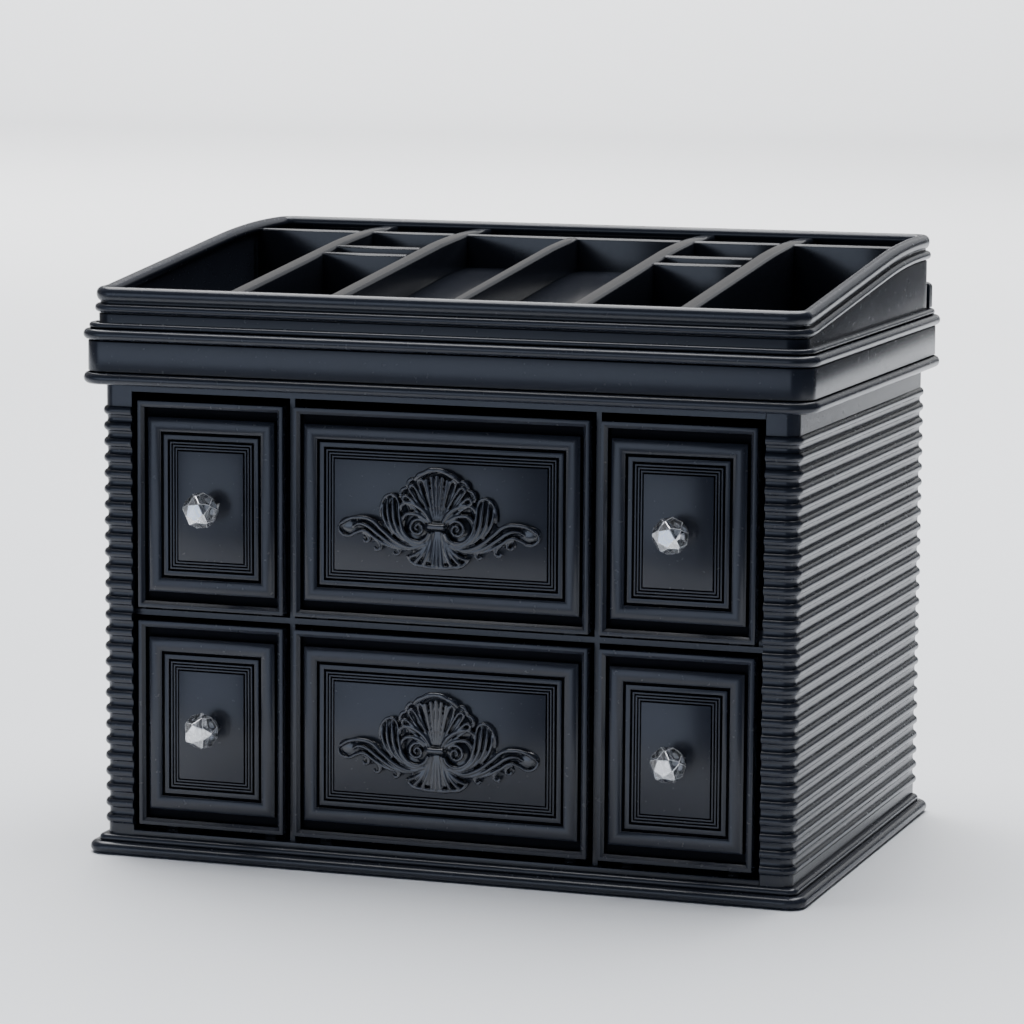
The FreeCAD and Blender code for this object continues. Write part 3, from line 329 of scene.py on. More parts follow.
def copy_of(piece, name):
    """A copy with its own mesh, left active and selected."""
    activate(piece)
    bpy.ops.object.duplicate(linked=False)
    twin = bpy.context.object
    twin.name = name
    twin.data.name = name
    return twin


def moved_copy(piece, name, move):
    """The same piece at another place."""
    twin = copy_of(piece, name)
    twin.data.transform(Matrix.Translation(move))
    return twin


def mirrored_copy(piece, name):
    """The same piece on the other side of the middle."""
    twin = copy_of(piece, name)
    edit_mode()
    select_all()
    bpy.ops.transform.resize(value=(-1, 1, 1), center_override=(0, 0, 0))
    bpy.ops.mesh.flip_normals()
    object_mode()
    return twin


def dress(piece, material, body, slot, *nodes):
    """Give a finished piece its material, its body, and the nodes that it stands for."""
    if piece.mode != "OBJECT":
        object_mode()
    piece.data.materials.clear()
    piece.data.materials.append(material)
    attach(piece, body)
    if nodes:
        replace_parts(piece, *nodes)
    piece.select_set(False)


def second_finish(piece, finish, wanted):
    """Give the faces that a test picks a finish of their own."""
    piece.data.materials.append(finish_for(finish))
    activate(piece)
    edit_mode()
    pick("faces", wanted)
    piece.active_material_index = len(piece.data.materials) - 1
    bpy.ops.object.material_slot_assign()
    point_mode()
    object_mode()
    piece.select_set(False)


def rounded_copy(node, width, top=0.0):
    """A copy of a plain solid with its edges rounded, and a thin wall's top edges rounded more."""
    twin = copy_of(frame["nodes"][node], node + "_moulded")
    bpy.ops.object.parent_clear(type="CLEAR_KEEP_TRANSFORM")
    for key in list(twin.keys()):
        del twin[key]
    edit_mode()
    point_mode()
    select_all()
    bpy.ops.mesh.remove_doubles(threshold=MERGE)
    bpy.ops.mesh.dissolve_limited(angle_limit=FLAT)
    if top:
        low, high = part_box(node)
        across = X if high.x - low.x < high.y - low.y else Y

        def along_top(edge):
            if len(edge.link_faces) != 2:
                return False
            head, side = sorted(edge.link_faces, key=lambda face: -face.normal.z)
            return head.normal.z > FACES_UP and abs(side.normal[across]) > FACES_AXIS

        pick("edges", along_top)
        bpy.ops.mesh.bevel(offset=top, segments=TOP_SEGMENTS)
        point_mode()
    soften(twin, width)
    return twin


def arc_steps(width, rise, bulge, count):
    """Steps along an arc of a profile, as pairs of inward and outward moves."""
    chord = math.hypot(width, rise)
    radius = (chord * chord / 4 + bulge * bulge) / (2 * abs(bulge))
    half = math.asin(min(1.0, chord / 2 / radius))
    along = Vector((width, rise)) / chord
    across = Vector((-along.y, along.x)) * math.copysign(1, bulge)
    last = Vector((0, 0))
    steps = []
    for i in range(1, count + 1):
        angle = half * (2 * i / count - 1)
        reach = radius * (math.sin(angle) + math.sin(half))
        lift = radius * (math.cos(angle) - math.cos(half))
        point = along * reach + across * lift
        steps.append(tuple(point - last))
        last = point
    return steps


# Finishes

# Each noise has a scale, in waves over a metre, and a detail.
CLOUD_NOISE = (60.0, 5.0)
CLOUD_SPREAD = 0.05
GLOSS_NOISE = (420.0, 6.0)
GLOSS_SPREAD = (-0.012, 0.015)
GRAIN_NOISE = (2600.0, 3.0)
HAZE_NOISE = (420.0, 2.0)
HAZE = (0.0, 0.03)
MOTTLE_NOISE = (6.0, 3.0)
MOTTLE_SHADE = 0.985
# Part of a noise that a range is spread over
NOISE_SPAN = (0.3, 0.7)
# Painted shade in crevices: how open a point is where it is fully shaded and where not at all, the rays that
# gauge it, and the shade's near-black colour
PAINTED_SHADE_SPAN = (0.35, 0.85)
PAINTED_SHADE_SAMPLES = 4
PAINTED_SHADE_COLOUR = (0.002, 0.002, 0.003, 1)
PLASTIC_IOR = 1.45
FLOOR_ROUGHNESS = 0.5
# Tone, added dullness, grain and share of the sheen for each plastic
PLASTIC_TONES = {
    "black_satin": (1.0, 0.0, 0.008, 1.0),
    # The carving's finish is a little glossier, and a lighter copy with stronger sheen: painted highlight.
    "carving_gloss": (1.1, -0.05, 0.008, 1.8),
    # The groove finish is painted shade: a much darker copy with little sheen for the floors and walls of
    # narrow grooves, and rougher as well.
    "groove_dull": (0.25, 0.45, 0.04, 0.12),
    "tray_satin": (0.55, -0.08, 0.006, 1.15),
    "box_matte": (1.2, 0.14, 0.30, 1.0),
}
# Colour, share of metal, noise and least and most roughness of each bright finish: a painted highlight on the
# rounded edges between the facets, zinc-plated screw steel, and the foil behind a clear knob
BRIGHT_FINISHES = {
    "bright_edge": ((0.97, 0.98, 1.0, 1), 0.45, (700.0, 3.0), (0.12, 0.34)),
    "plated_steel": ((0.56, 0.57, 0.58, 1), 1.0, (900.0, 4.0), (0.26, 0.44)),
    "silvered_seat": ((0.93, 0.94, 0.95, 1), 1.0, (900.0, 3.0), (0.05, 0.16)),
}


def new_material(name):
    """A new material with its nodes, its links and its shader."""
    material = bpy.data.materials.new(name)
    material.use_nodes = True
    shader = material.node_tree.nodes["Principled BSDF"]
    return material, material.node_tree.nodes, material.node_tree.links, shader


def add_noise(nodes, links, form):
    """A noise on the piece's own coordinates."""
    place = nodes.new("ShaderNodeTexCoord")
    noise = nodes.new("ShaderNodeTexNoise")
    noise.inputs["Scale"].default_value = form[0]
    noise.inputs["Detail"].default_value = form[1]
    links.new(place.outputs["Object"], noise.inputs["Vector"])
    return noise.outputs["Fac"]


def add_range(nodes, links, source, least, most, span=NOISE_SPAN):
    """Spread a part of a value's span between two values."""
    spread = nodes.new("ShaderNodeMapRange")
    spread.inputs["From Min"].default_value = span[0]
    spread.inputs["From Max"].default_value = span[1]
    spread.inputs["To Min"].default_value = least
    spread.inputs["To Max"].default_value = most
    links.new(source, spread.inputs["Value"])
    return spread.outputs["Result"]


def add_ramp(nodes, links, source, dark, light, span=(0.0, 1.0)):
    """Colours between a dark and a light one, along a value."""
    ramp = nodes.new("ShaderNodeValToRGB")
    for stop, colour, place in zip(ramp.color_ramp.elements, (dark, light), span):
        stop.color = (*colour, 1)
        stop.position = place
    links.new(source, ramp.inputs["Fac"])
    return ramp.outputs["Color"]


def vary_roughness(nodes, links, shader, form, least, most):
    """Let a noise carry the roughness between two values."""
    gloss = add_noise(nodes, links, form)
    links.new(add_range(nodes, links, gloss, least, most), shader.inputs["Roughness"])


def satin_plastic(name, tone, duller, grain_strength, sheen_share):
    """Moulded black plastic: a faint cloudiness, uneven gloss, painted shade in crevices and a fine grain."""
    settings = bpy.context.scene.vanity_plastic
    material, nodes, links, shader = new_material(name)
    dark, light = ([channel * tone * (1 + share) for channel in settings.colour]
                   for share in (-CLOUD_SPREAD, CLOUD_SPREAD))
    cloud = add_noise(nodes, links, CLOUD_NOISE)
    colour = add_ramp(nodes, links, cloud, dark, light, NOISE_SPAN)
    # Painted shade: near other faces the colour darkens towards near black.
    crevice_shade = nodes.new("ShaderNodeAmbientOcclusion")
    crevice_shade.samples = PAINTED_SHADE_SAMPLES
    crevice_shade.only_local = True
    crevice_shade.inputs["Distance"].default_value = settings.crevice_shade
    unshaded_share = add_range(nodes, links, crevice_shade.outputs["AO"], 0.0, 1.0, PAINTED_SHADE_SPAN)
    shade_mix = nodes.new("ShaderNodeMix")
    shade_mix.data_type = "RGBA"
    shade_mix.inputs["A"].default_value = PAINTED_SHADE_COLOUR
    links.new(unshaded_share, shade_mix.inputs["Factor"])
    links.new(colour, shade_mix.inputs["B"])
    links.new(shade_mix.outputs["Result"], shader.inputs["Base Color"])
    roughness = settings.roughness + duller
    vary_roughness(nodes, links, shader, GLOSS_NOISE, *(roughness + share for share in GLOSS_SPREAD))
    shader.inputs["IOR"].default_value = PLASTIC_IOR
    # The socket also keeps the full sheen as its own value, for wherever the link is dropped.
    sheen = settings.sheen * sheen_share
    shader.inputs["Specular IOR Level"].default_value = sheen
    # Painted shade on the reflection: the sheen fades out in crevices.
    unshaded_sheen = add_range(nodes, links, unshaded_share, 0.0, sheen, (0.0, 1.0))
    links.new(unshaded_sheen, shader.inputs["Specular IOR Level"])
    bump = nodes.new("ShaderNodeBump")
    bump.inputs["Strength"].default_value = grain_strength
    bump.inputs["Distance"].default_value = settings.grain
    links.new(add_noise(nodes, links, GRAIN_NOISE), bump.inputs["Height"])
    links.new(bump.outputs["Normal"], shader.inputs["Normal"])
    return material


def cut_crystal(name):
    """Clear polished acrylic with faint polishing marks."""
    settings = bpy.context.scene.vanity_crystal
    material, nodes, links, shader = new_material(name)
    shader.inputs["Base Color"].default_value = (*settings.tint, 1)
    shader.inputs["Transmission Weight"].default_value = settings.clarity
    shader.inputs["Metallic"].default_value = settings.mirror
    shader.inputs["IOR"].default_value = settings.ior
    vary_roughness(nodes, links, shader, HAZE_NOISE, *HAZE)
    return material


def bright_finish(name, colour, metal, form, roughness):
    """Metal, or a painted highlight on a rounded edge, with an uneven polish."""
    material, nodes, links, shader = new_material(name)
    shader.inputs["Base Color"].default_value = colour
    shader.inputs["Metallic"].default_value = metal
    vary_roughness(nodes, links, shader, form, *roughness)
    return material


def pale_floor(name):
    """A pale floor with a very faint mottle."""
    light = bpy.context.scene.vanity_stage.floor_colour
    material, nodes, links, shader = new_material(name)
    mottle = add_noise(nodes, links, MOTTLE_NOISE)
    colour = add_ramp(nodes, links, mottle, [channel * MOTTLE_SHADE for channel in light], light)
    links.new(colour, shader.inputs["Base Color"])
    shader.inputs["Roughness"].default_value = FLOOR_ROUGHNESS
    return material


def finish_for(name):
    """The finish of a name, made once."""
    if name in bpy.data.materials:
        return bpy.data.materials[name]
    if name == "cut_crystal":
        return cut_crystal(name)
    if name in BRIGHT_FINISHES:
        return bright_finish(name, *BRIGHT_FINISHES[name])
    return satin_plastic(name, *PLASTIC_TONES[name])


# Side panels

class VANITY_OT_side_panels(bpy.types.Operator):
    """Model the ribbed side panels, which turn the front corners into pilasters"""

    bl_idname = "vanity.side_panels"
    bl_label = "Side panels"

    foot_strip = 6.6 * MM
    head_strip = 11.6 * MM
    wall = 3.0 * MM
    hollow = 0.35 * MM
    hollow_steps = 6
    circle_points = 40

    def execute(self, context):
        settings = context.scene.vanity_moulding
        low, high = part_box("right_side_panel")
        front = low.y + settings.rib_rise
        self.rib_profile(settings, low, high, front)
        side = high.x - settings.rib_rise
        centre = (side - settings.corner, front + settings.corner, 0)
        extrude((centre[0] - low.x, 0, 0))
        turn_corner(centre)
        extrude((0, high.y - centre[1], 0))
        for axis, place in ((X, low.x), (Y, high.y)):
            pick("edges", lies_at(axis, place))
            bpy.ops.mesh.edge_face_add()
        clean_mesh()
        panel = context.edit_object
        object_mode()
        shade()
        twin = mirrored_copy(panel, "left_ribbed_panel")
        for piece, side_name in ((panel, "right"), (twin, "left")):
            dress(piece, finish_for("black_satin"), CABINET, "black_plastic", side_name + "_side_panel")
        return {"FINISHED"}

    def rib_profile(self, settings, low, high, front):
        """A closed section through the pilaster: ribs in front, a flat wall behind."""
        half = settings.rib_width / 2
        rise = settings.rib_rise
        radius = (half * half + rise * rise) / (2 * rise)
        first = low.z + self.foot_strip
        pitch = (high.z - self.head_strip - first) / (settings.rib_count - 1)
        deselect_all()
        bpy.ops.mesh.primitive_circle_add(
            vertices=self.circle_points, radius=radius, fill_type="NGON",
            location=(low.x, front + radius - rise, first), rotation=(0, QUARTER, 0))
        piece = begin("right_ribbed_panel")
        cut((low.x, front, first), clear_outer=True)
        pick("edges", lies_at(Y, front))
        bpy.ops.mesh.delete(type="EDGE")
        half = max(v.co.z for v in bmesh.from_edit_mesh(piece.data).verts) - first
        pick("verts", lambda v: abs(v.co.z - first - half) < EXACT)
        for up, outward in arc_steps(pitch - 2 * half, 0, -self.hollow, self.hollow_steps):
            extrude((0, -outward, up))
        object_mode()
        apply_modifier(
            piece, "ARRAY", count=settings.rib_count, use_relative_offset=False, use_constant_offset=True,
            constant_offset_displace=(0, 0, pitch), use_merge_vertices=True, merge_threshold=NEAR)
        edit_mode()
        last = first + pitch * settings.rib_count - half
        top_rib = first + pitch * (settings.rib_count - 1) + half
        pick("verts", lambda v: top_rib + NEAR < v.co.z < last - NEAR)
        bpy.ops.mesh.dissolve_verts()
        pick("verts", lambda v: abs(v.co.z - last) < NEAR)
        bpy.ops.transform.translate(value=(0, 0, high.z - last))
        for inward, up in ((self.wall, 0), (0, low.z - high.z), (-self.wall, 0), (0, self.foot_strip - half)):
            extrude((0, inward, up))
        select_all()
        bpy.ops.mesh.remove_doubles(threshold=NEAR)
        select_all()


# Mouldings swept round a rectangle: plinth, cornice and tray

def trace(name, start, moves):
    """Draw a profile of the front wall point by point, from (outward, up) moves."""
    deselect_all()
    bpy.ops.mesh.primitive_plane_add(size=MM, location=start)
    piece = begin(name)
    select_all()
    bpy.ops.mesh.merge(type="CENTER")
    for outward, up in moves:
        extrude((0, -outward, up))
    return piece


def sweep(half_x, half_y, corner):
    """Carry the traced profile round a rectangle with round corners, and close the ring."""
    run_x = half_x - corner
    run_y = half_y - corner
    select_all()
    extrude((run_x, 0, 0))
    runs = ((1, -1, (0, 2 * run_y, 0)), (1, 1, (-2 * run_x, 0, 0)),
            (-1, 1, (0, -2 * run_y, 0)), (-1, -1, (run_x, 0, 0)))
    for side_x, side_y, run in runs:
        turn_corner((side_x * run_x, side_y * run_y, 0))
        extrude(run)
    select_all()
    bpy.ops.mesh.remove_doubles(threshold=NEAR)


def quirk_moves(size):
    """Moves of a small square groove beside a bead."""
    return [(-size, 0), (0, size), (size, 0)]


def fill_loop(height):
    """Close the open loop of the ring that lies at a height."""
    level = lies_at(Z, height)
    pick("edges", lambda edge: edge.is_boundary and level(edge))
    bpy.ops.mesh.edge_face_add()


def round_moves(radius, begin_angle, end_angle, count):
    """Moves (outward, up) along a round, between two angles above the outward direction."""
    places = []
    for i in range(count + 1):
        angle = math.radians(begin_angle + (end_angle - begin_angle) * i / count)
        places.append((radius * math.cos(angle), radius * math.sin(angle)))
    return [(b[0] - a[0], b[1] - a[1]) for a, b in zip(places, places[1:])]


def add_block(low, high):
    """A plain block between two corners, left selected."""
    low = Vector(low)
    high = Vector(high)
    bpy.ops.mesh.primitive_cube_add(size=1, location=(low + high) / 2, scale=high - low)
    return bpy.context.object


def join_to(piece, others):
    """Join finished blocks to a piece."""
    activate(piece)
    for other in others:
        other.select_set(True)
    bpy.ops.object.join()


class VANITY_OT_plinth(bpy.types.Operator):
    """Model the foot: a half-round roll, a bead, the bay floor and its rails"""

    bl_idname = "vanity.plinth"
    bl_label = "Plinth"

    roll_height = 5.3 * MM
    roll_steps = 12
    bead_radius = 1.9 * MM
    bead_steps = 8
    bead_sink = 0.9 * MM
    bead_inset = 4.0 * MM
    corner = 8.0 * MM
    rim = 14.5 * MM
    skin = 2.6 * MM
    sill_rise = 2.2 * MM
    sill_inset = 1.0 * MM
    rib = 5.0 * MM
    rail_width = 5.0 * MM
    rail_inset = 7.0 * MM
    rail_end = 3.0 * MM
    fit = 0.2 * MM
    lap = 1.0 * MM

    def execute(self, context):
        low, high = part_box("base_plinth")
        panel_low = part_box("right_side_panel")[0]
        top = panel_low.z
        floor = top + self.sill_rise
        roll = self.roll_height / 2
        sink = math.degrees(math.asin((self.bead_radius - self.bead_sink) / self.bead_radius))
        bead_half = high.y - self.bead_inset - self.bead_radius
        bead_start = bead_half + self.bead_radius * math.cos(math.radians(sink))
        moves = [(0, self.skin - floor), (self.rim - roll, 0)]
        moves += round_moves(roll, -90, 90, self.roll_steps)
        moves.append((bead_start - (high.y - roll), 0))
        moves += round_moves(self.bead_radius, -sink, 90, self.bead_steps)
        piece = trace("plinth_moulded", (0, low.y + self.rim, floor - self.skin), moves)
        sweep(high.x, high.y, self.corner)
        fill_loop(floor - self.skin)
        fill_loop(top)
        clean_mesh()
        object_mode()
        join_to(piece, self.floor_blocks(high, panel_low, top, floor))
        soften(piece, context.scene.vanity_moulding.edge, SHARP)
        dress(piece, finish_for("black_satin"), CABINET, "black_plastic", "base_plinth")
        return {"FINISHED"}

    def floor_blocks(self, high, panel_low, top, floor):
        """The bay floor with its lip, two rails under each drawer, and the ribs of the underside."""
        shelf_low, shelf_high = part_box("mid_shelf")
        back_low, back_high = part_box("back_panel")
        sill = panel_low.y + self.sill_inset
        step = shelf_low.y + self.rail_end
        lip = panel_low.x - self.fit
        under = top - self.lap
        blocks = [add_block((-lip, sill, under), (lip, step, floor)),
                  add_block((shelf_low.x, step, under), (shelf_high.x, back_high.y, floor))]
        for column in COLUMNS:
            box_low, box_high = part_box("lower_%s_drawer_box" % column)
            rail_top = box_low.z - self.fit
            for start in (box_low.x + self.rail_inset, box_high.x - self.rail_inset - self.rail_width):
                blocks.append(add_block((start, step + self.rail_end, floor - self.lap),
                                        (start + self.rail_width, back_low.y - self.rail_end, rail_top)))
        inner_x = high.x - self.rim
        inner_y = high.y - self.rim
        half = self.rib / 2
        for middle in (-inner_x / 3, inner_x / 3):
            blocks.append(add_block((middle - half, -inner_y, 0), (middle + half, inner_y, under)))
        blocks.append(add_block((-inner_x, -half, 0), (inner_x, half, under)))
        return blocks


class VANITY_OT_cornice(bpy.types.Operator):
    """Model the moulded frame under the tray: beads at foot and head, a plain fascia between"""

    bl_idname = "vanity.cornice"
    bl_label = "Cornice"

    foot_radius = 2.6 * MM
    head_radius = 2.3 * MM
    small_radius = 1.35 * MM
    bead_steps = 14
    small_steps = 10
    bead_rise = 2.0 * MM
    small_inset = 0.5 * MM
    corner = 11.0 * MM
    quirk = 0.55 * MM
    quirk_reach = 0.51
    wall = 3.4 * MM
    ledge = 2.0 * MM
    ledge_width = 10.0 * MM

    def execute(self, context):
        low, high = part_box("tray_cornice")
        fascia = high.y - self.bead_rise
        foot_angle = math.degrees(math.acos(1 - self.bead_rise / self.foot_radius))
        head_angle = math.degrees(math.acos(1 - self.bead_rise / self.head_radius))
        well = fascia - self.wall
        mouth = well - self.ledge_width
        small_half = fascia - self.small_inset - self.small_radius
        fascia_start = low.z + self.foot_radius * (1 + math.sin(math.radians(foot_angle)))
        head_middle = high.z - 2 * self.small_radius - self.head_radius
        fascia_end = head_middle - self.head_radius * math.sin(math.radians(head_angle))
        moves = [(high.y - self.foot_radius - mouth, 0)]
        moves += round_moves(self.foot_radius, -90, foot_angle, self.bead_steps)
        moves += quirk_moves(self.quirk)
        moves.append((0, fascia_end - fascia_start - 2 * self.quirk))
        moves += quirk_moves(self.quirk)
        moves += round_moves(self.head_radius, -head_angle, 90, self.bead_steps)
        moves.append((small_half - (high.y - self.head_radius), 0))
        moves += round_moves(self.small_radius, -90, 90, self.small_steps)
        moves += [(well - small_half, 0), (0, low.z + self.ledge - high.z)]
        moves += [(mouth - well, 0), (0, -self.ledge)]
        piece = trace("cornice_moulded", (0, -mouth, low.z), moves)
        sweep(high.x, high.y, self.corner)
        clean_mesh()
        soften(piece, context.scene.vanity_moulding.edge, SHARP)
        dress(piece, finish_for("black_satin"), CABINET, "black_plastic", "tray_cornice")
        quirks = (fascia_start + self.quirk / 2, fascia_end - self.quirk / 2)

        def in_quirk(face):
            place = face.calc_center_median()
            near = any(abs(place.z - middle) < self.quirk * self.quirk_reach for middle in quirks)
            return near and place.length > mouth

        # Painted shade: the quirks get the dark groove finish.
        second_finish(piece, "groove_dull", in_quirk)
        return {"FINISHED"}


class VANITY_OT_tray(bpy.types.Operator):
    """Model the organizer tray: walls, two beads that follow the sloped rim, and lugs"""

    bl_idname = "vanity.tray"
    bl_label = "Tray"

    wall = 3.0 * MM
    wall_inset = 1.7 * MM
    floor = 2.4 * MM
    level_height = 3.1 * MM
    rim_radius = 2.9 * MM
    rim_inset = 1.9 * MM
    rim_droop = 1.32
    rim_under_steps = 8
    rim_over_steps = 16
    quirk = 0.6 * MM
    second_radius = 1.9 * MM
    second_inset = 0.2 * MM
    second_drop = 6.1 * MM
    second_steps = 10
    corner = 8.0 * MM
    front_rise = 15.1 * MM
    slope_foot = -95.7 * MM
    slope_head = 59.3 * MM
    foot_ease = 4.0 * MM
    foot_cuts = 3
    head_ease = 34.0 * MM
    head_cuts = 8
    lug_width = 8.0 * MM
    lug_height = 11.5 * MM
    lug_round = 2.5 * MM
    lug_segments = 5
    lug_lap = 1.0 * MM

    def execute(self, context):
        low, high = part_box("organizer_tray")
        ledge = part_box("tray_cornice")[1].z
        half_x = high.x - self.wall_inset
        half_y = -low.y - self.wall_inset
        piece = self.walls(low, half_y, ledge)
        sweep(half_x, half_y, self.corner)
        fill_loop(low.z)
        fill_loop(low.z + self.floor)
        clean_mesh()
        self.slope(ledge + self.level_height, high.z - ledge - self.front_rise)
        soften(piece, context.scene.vanity_moulding.edge, SHARP)
        join_to(piece, self.lugs(half_x, half_y, high.y, ledge))
        dress(piece, finish_for("black_satin"), CABINET, "black_plastic", "organizer_tray")
        return {"FINISHED"}

    def walls(self, low, half_y, ledge):
        """The wall's section, from the outside of its foot over the rim to the inside."""
        rim_middle = ledge + self.front_rise - self.rim_radius
        outer = math.degrees(math.acos(self.rim_inset / self.rim_radius))
        inner = 180 + math.degrees(math.acos((self.wall - self.rim_inset) / self.rim_radius))
        second_middle = rim_middle - self.second_drop
        side = math.degrees(math.acos(self.second_inset / self.second_radius))
        second_reach = self.second_radius * math.sin(math.radians(side))
        rim_foot = rim_middle - self.rim_radius * self.rim_droop * math.sin(math.radians(outer))
        rim_end = rim_middle + self.rim_radius * math.sin(math.radians(inner))
        neck = rim_foot - second_middle - second_reach
        moves = [(0, second_middle - second_reach - self.quirk - low.z)]
        moves += quirk_moves(self.quirk)
        moves += round_moves(self.second_radius, -side, side, self.second_steps)
        moves += [(-self.quirk, 0), (0, neck), (self.quirk, 0)]
        under = round_moves(self.rim_radius, -outer, 0, self.rim_under_steps)
        moves += [(out, up * self.rim_droop) for out, up in under]
        moves += round_moves(self.rim_radius, 0, inner, self.rim_over_steps)
        moves.append((0, low.z + self.floor - rim_end))
        return trace("tray_moulded", (0, -half_y, low.z), moves)

    def slope(self, above, rise):
        """Lift all that lies above the level part of the wall along the rim's line."""
        steepness = rise / (self.slope_head - self.slope_foot)
        bends = ((self.slope_foot, self.foot_ease, self.foot_cuts),
                 (self.slope_head, self.head_ease, self.head_cuts))
        for middle, ease, count in bends:
            for i in range(-count, count + 1):
                cut((0, middle + ease * i / count, 0))

        def lift(place):
            if place.z < above:
                return Vector((0, 0, 0))
            into_foot = min(max(place.y - self.slope_foot + self.foot_ease, 0), 2 * self.foot_ease)
            short_of_head = min(max(self.slope_head + self.head_ease - place.y, 0), 2 * self.head_ease)
            if into_foot < 2 * self.foot_ease:
                return Vector((0, 0, steepness * into_foot ** 2 / (4 * self.foot_ease)))
            if short_of_head < 2 * self.head_ease:
                return Vector((0, 0, rise - steepness * short_of_head ** 2 / (4 * self.head_ease)))
            return Vector((0, 0, steepness * (place.y - self.slope_foot)))

        move_points(lift)

    def lugs(self, half_x, half_y, back, ledge):
        """A round-topped lug at each back corner."""
        blocks = []
        head = ledge + self.lug_height
        for side in (-1, 1):
            start, end = sorted((side * half_x, side * (half_x - self.lug_width)))
            deselect_all()
            block = add_block((start, half_y - self.lug_lap, ledge), (end, back, head))
            begin("lug")
            pick("edges", lies_at(Z, head))
            bpy.ops.mesh.bevel(offset=self.lug_round, segments=self.lug_segments)
            object_mode()
            shade()
            blocks.append(block)
        return blocks


class VANITY_OT_partitions(bpy.types.Operator):
    """Round the edges of the partitions, bin walls, display floors and drawer boxes"""

    bl_idname = "vanity.partitions"
    bl_label = "Partitions and boxes"

    top_round = 1.0 * MM

    def execute(self, context):
        edge = context.scene.vanity_moulding.edge
        for name in sorted(frame["nodes"]):
            if "partition" in name or "bin_wall" in name:
                piece = rounded_copy(name, edge, self.top_round)
                dress(piece, finish_for("tray_satin"), CABINET, "tray_plastic", name)
            elif "display_floor" in name:
                dress(rounded_copy(name, edge), finish_for("tray_satin"), CABINET, "tray_plastic", name)
            elif name.endswith("drawer_box"):
                body = name.removesuffix("_box")
                dress(rounded_copy(name, edge), finish_for("box_matte"), body, "box_plastic", name)
        return {"FINISHED"}


# Knobs

class VANITY_OT_knobs(bpy.types.Operator):
    """Cut the clear knobs: a ball with five- and six-sided facets on a short neck"""

    bl_idname = "vanity.knobs"
    bl_label = "Knobs"

    ball_share = 1.12
    neck_share = 1.25
    facet_share = 47.0
    facet_edge = 0.15 * MM
    faces_back = 0.95
    foil_depth = 6.5 * MM
    edge_area = 1.8 * MM * MM
    turns = {"lower_left": 36.0, "upper_left": 25.0, "lower_right": 20.0, "upper_right": 30.0}

    def execute(self, context):
        model = None
        for label, turn in self.turns.items():
            low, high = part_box(label + "_knob")
            if model is None:
                model = self.model_knob(low, high, label)
                place = low
                piece = model
            else:
                piece = moved_copy(model, label + "_knob_cut", low - place)
            self.turn_knob(low, high, turn)
            dress(piece, finish_for("cut_crystal"), label + "_drawer", "clear_crystal", label + "_knob")
            self.silver_seat(piece)
            # Painted highlight: the small faces of the rounded facet edges get a white, half-metal finish.
            second_finish(piece, "bright_edge", lambda f: f.calc_area() < self.edge_area)
        return {"FINISHED"}

    def model_knob(self, low, high, label):
        """An icosahedron with its points cut off, and the facet at the back drawn out to a neck."""
        radius = (high.x - low.x) / 2
        centre = Vector(((low.x + high.x) / 2, low.y + radius, (low.z + high.z) / 2))
        deselect_all()
        bpy.ops.mesh.primitive_ico_sphere_add(
            subdivisions=1, radius=radius * self.ball_share, location=centre, rotation=(QUARTER, 0, 0))
        piece = begin(label + "_knob_cut")
        select_all()
        bpy.ops.mesh.bevel(affect="VERTICES", offset_type="PERCENT", offset_pct=self.facet_share)
        clean_mesh()
        select_all()
        bpy.ops.mesh.bevel(affect="EDGES", offset=self.facet_edge, segments=1)
        pick("faces", lambda f: f.normal.y > self.faces_back)
        back = max(v.co.y for v in bmesh.from_edit_mesh(piece.data).verts)
        extrude((0, (high.y - back) / 2, 0))
        extrude((0, (high.y - back) / 2, 0))
        bpy.ops.transform.resize(
            value=(self.neck_share, 1, self.neck_share), center_override=(centre.x, high.y, centre.z))
        clean_mesh()
        object_mode()
        return piece

    def silver_seat(self, piece):
        """Lay the foil on the face that sits on the drawer, and on the neck."""
        seat = max(v.co.y for v in piece.data.vertices)
        second_finish(piece, "silvered_seat", lambda f: f.calc_center_median().y > seat - self.foil_depth)

    def turn_knob(self, low, high, turn):
        """Turn the active knob on its screw."""
        edit_mode()
        select_all()
        centre = ((low.x + high.x) / 2, 0, (low.z + high.z) / 2)
        bpy.ops.transform.rotate(value=math.radians(turn), orient_axis="Y", center_override=centre)
        object_mode()


# Shell ornament

# Ribs of the carving's right half, each as points of (across, up, thickness, height), in millimetres
# from the middle of its bar.
SHELL_LIP = ((0, 24.0, 1.1, 4.3), (3.0, 23.5, 1.35, 4.3), (5.6, 22.3, 1.15, 4.2), (7.8, 21.2, 1.3, 4.0),
             (9.8, 19.0, 1.0, 3.4))
SHELL_LOBES = (
    ((9.6, 19.4, 0.7, 2.6), (11.8, 19.2, 1.0, 2.6), (13.4, 17.2, 0.9, 2.5), (13.4, 15.6, 0.7, 2.4)),
    ((13.6, 15.6, 0.7, 2.4), (15.6, 14.8, 0.9, 2.4), (16.4, 12.6, 0.9, 2.3), (15.8, 10.6, 0.7, 2.2)),
)
SHELL_LOOPS = (
    # tip across, tip up, half width of the tip, hub across, hub up
    (7.0, 18.2, 1.25, 2.1, 3.4),
    (11.0, 15.6, 1.35, 2.7, 3.2),
    (13.9, 11.2, 1.3, 3.2, 2.9),
)
VOLUTE_BANDS = (
    ((2.4, 1.6, 0.7, 3.4), (5.0, 5.4, 1.0, 3.3), (9.0, 8.4, 1.15, 3.1), (13.0, 9.5, 1.15, 2.8),
     (16.0, 8.2, 0.95, 2.5), (16.4, 6.0, 0.6, 2.2)),
    ((3.0, 0.8, 0.6, 3.2), (6.2, 3.4, 0.8, 3.1), (10.4, 4.9, 0.95, 2.9), (14.2, 4.3, 0.95, 2.7),
     (15.8, 1.8, 0.65, 2.4)),
)
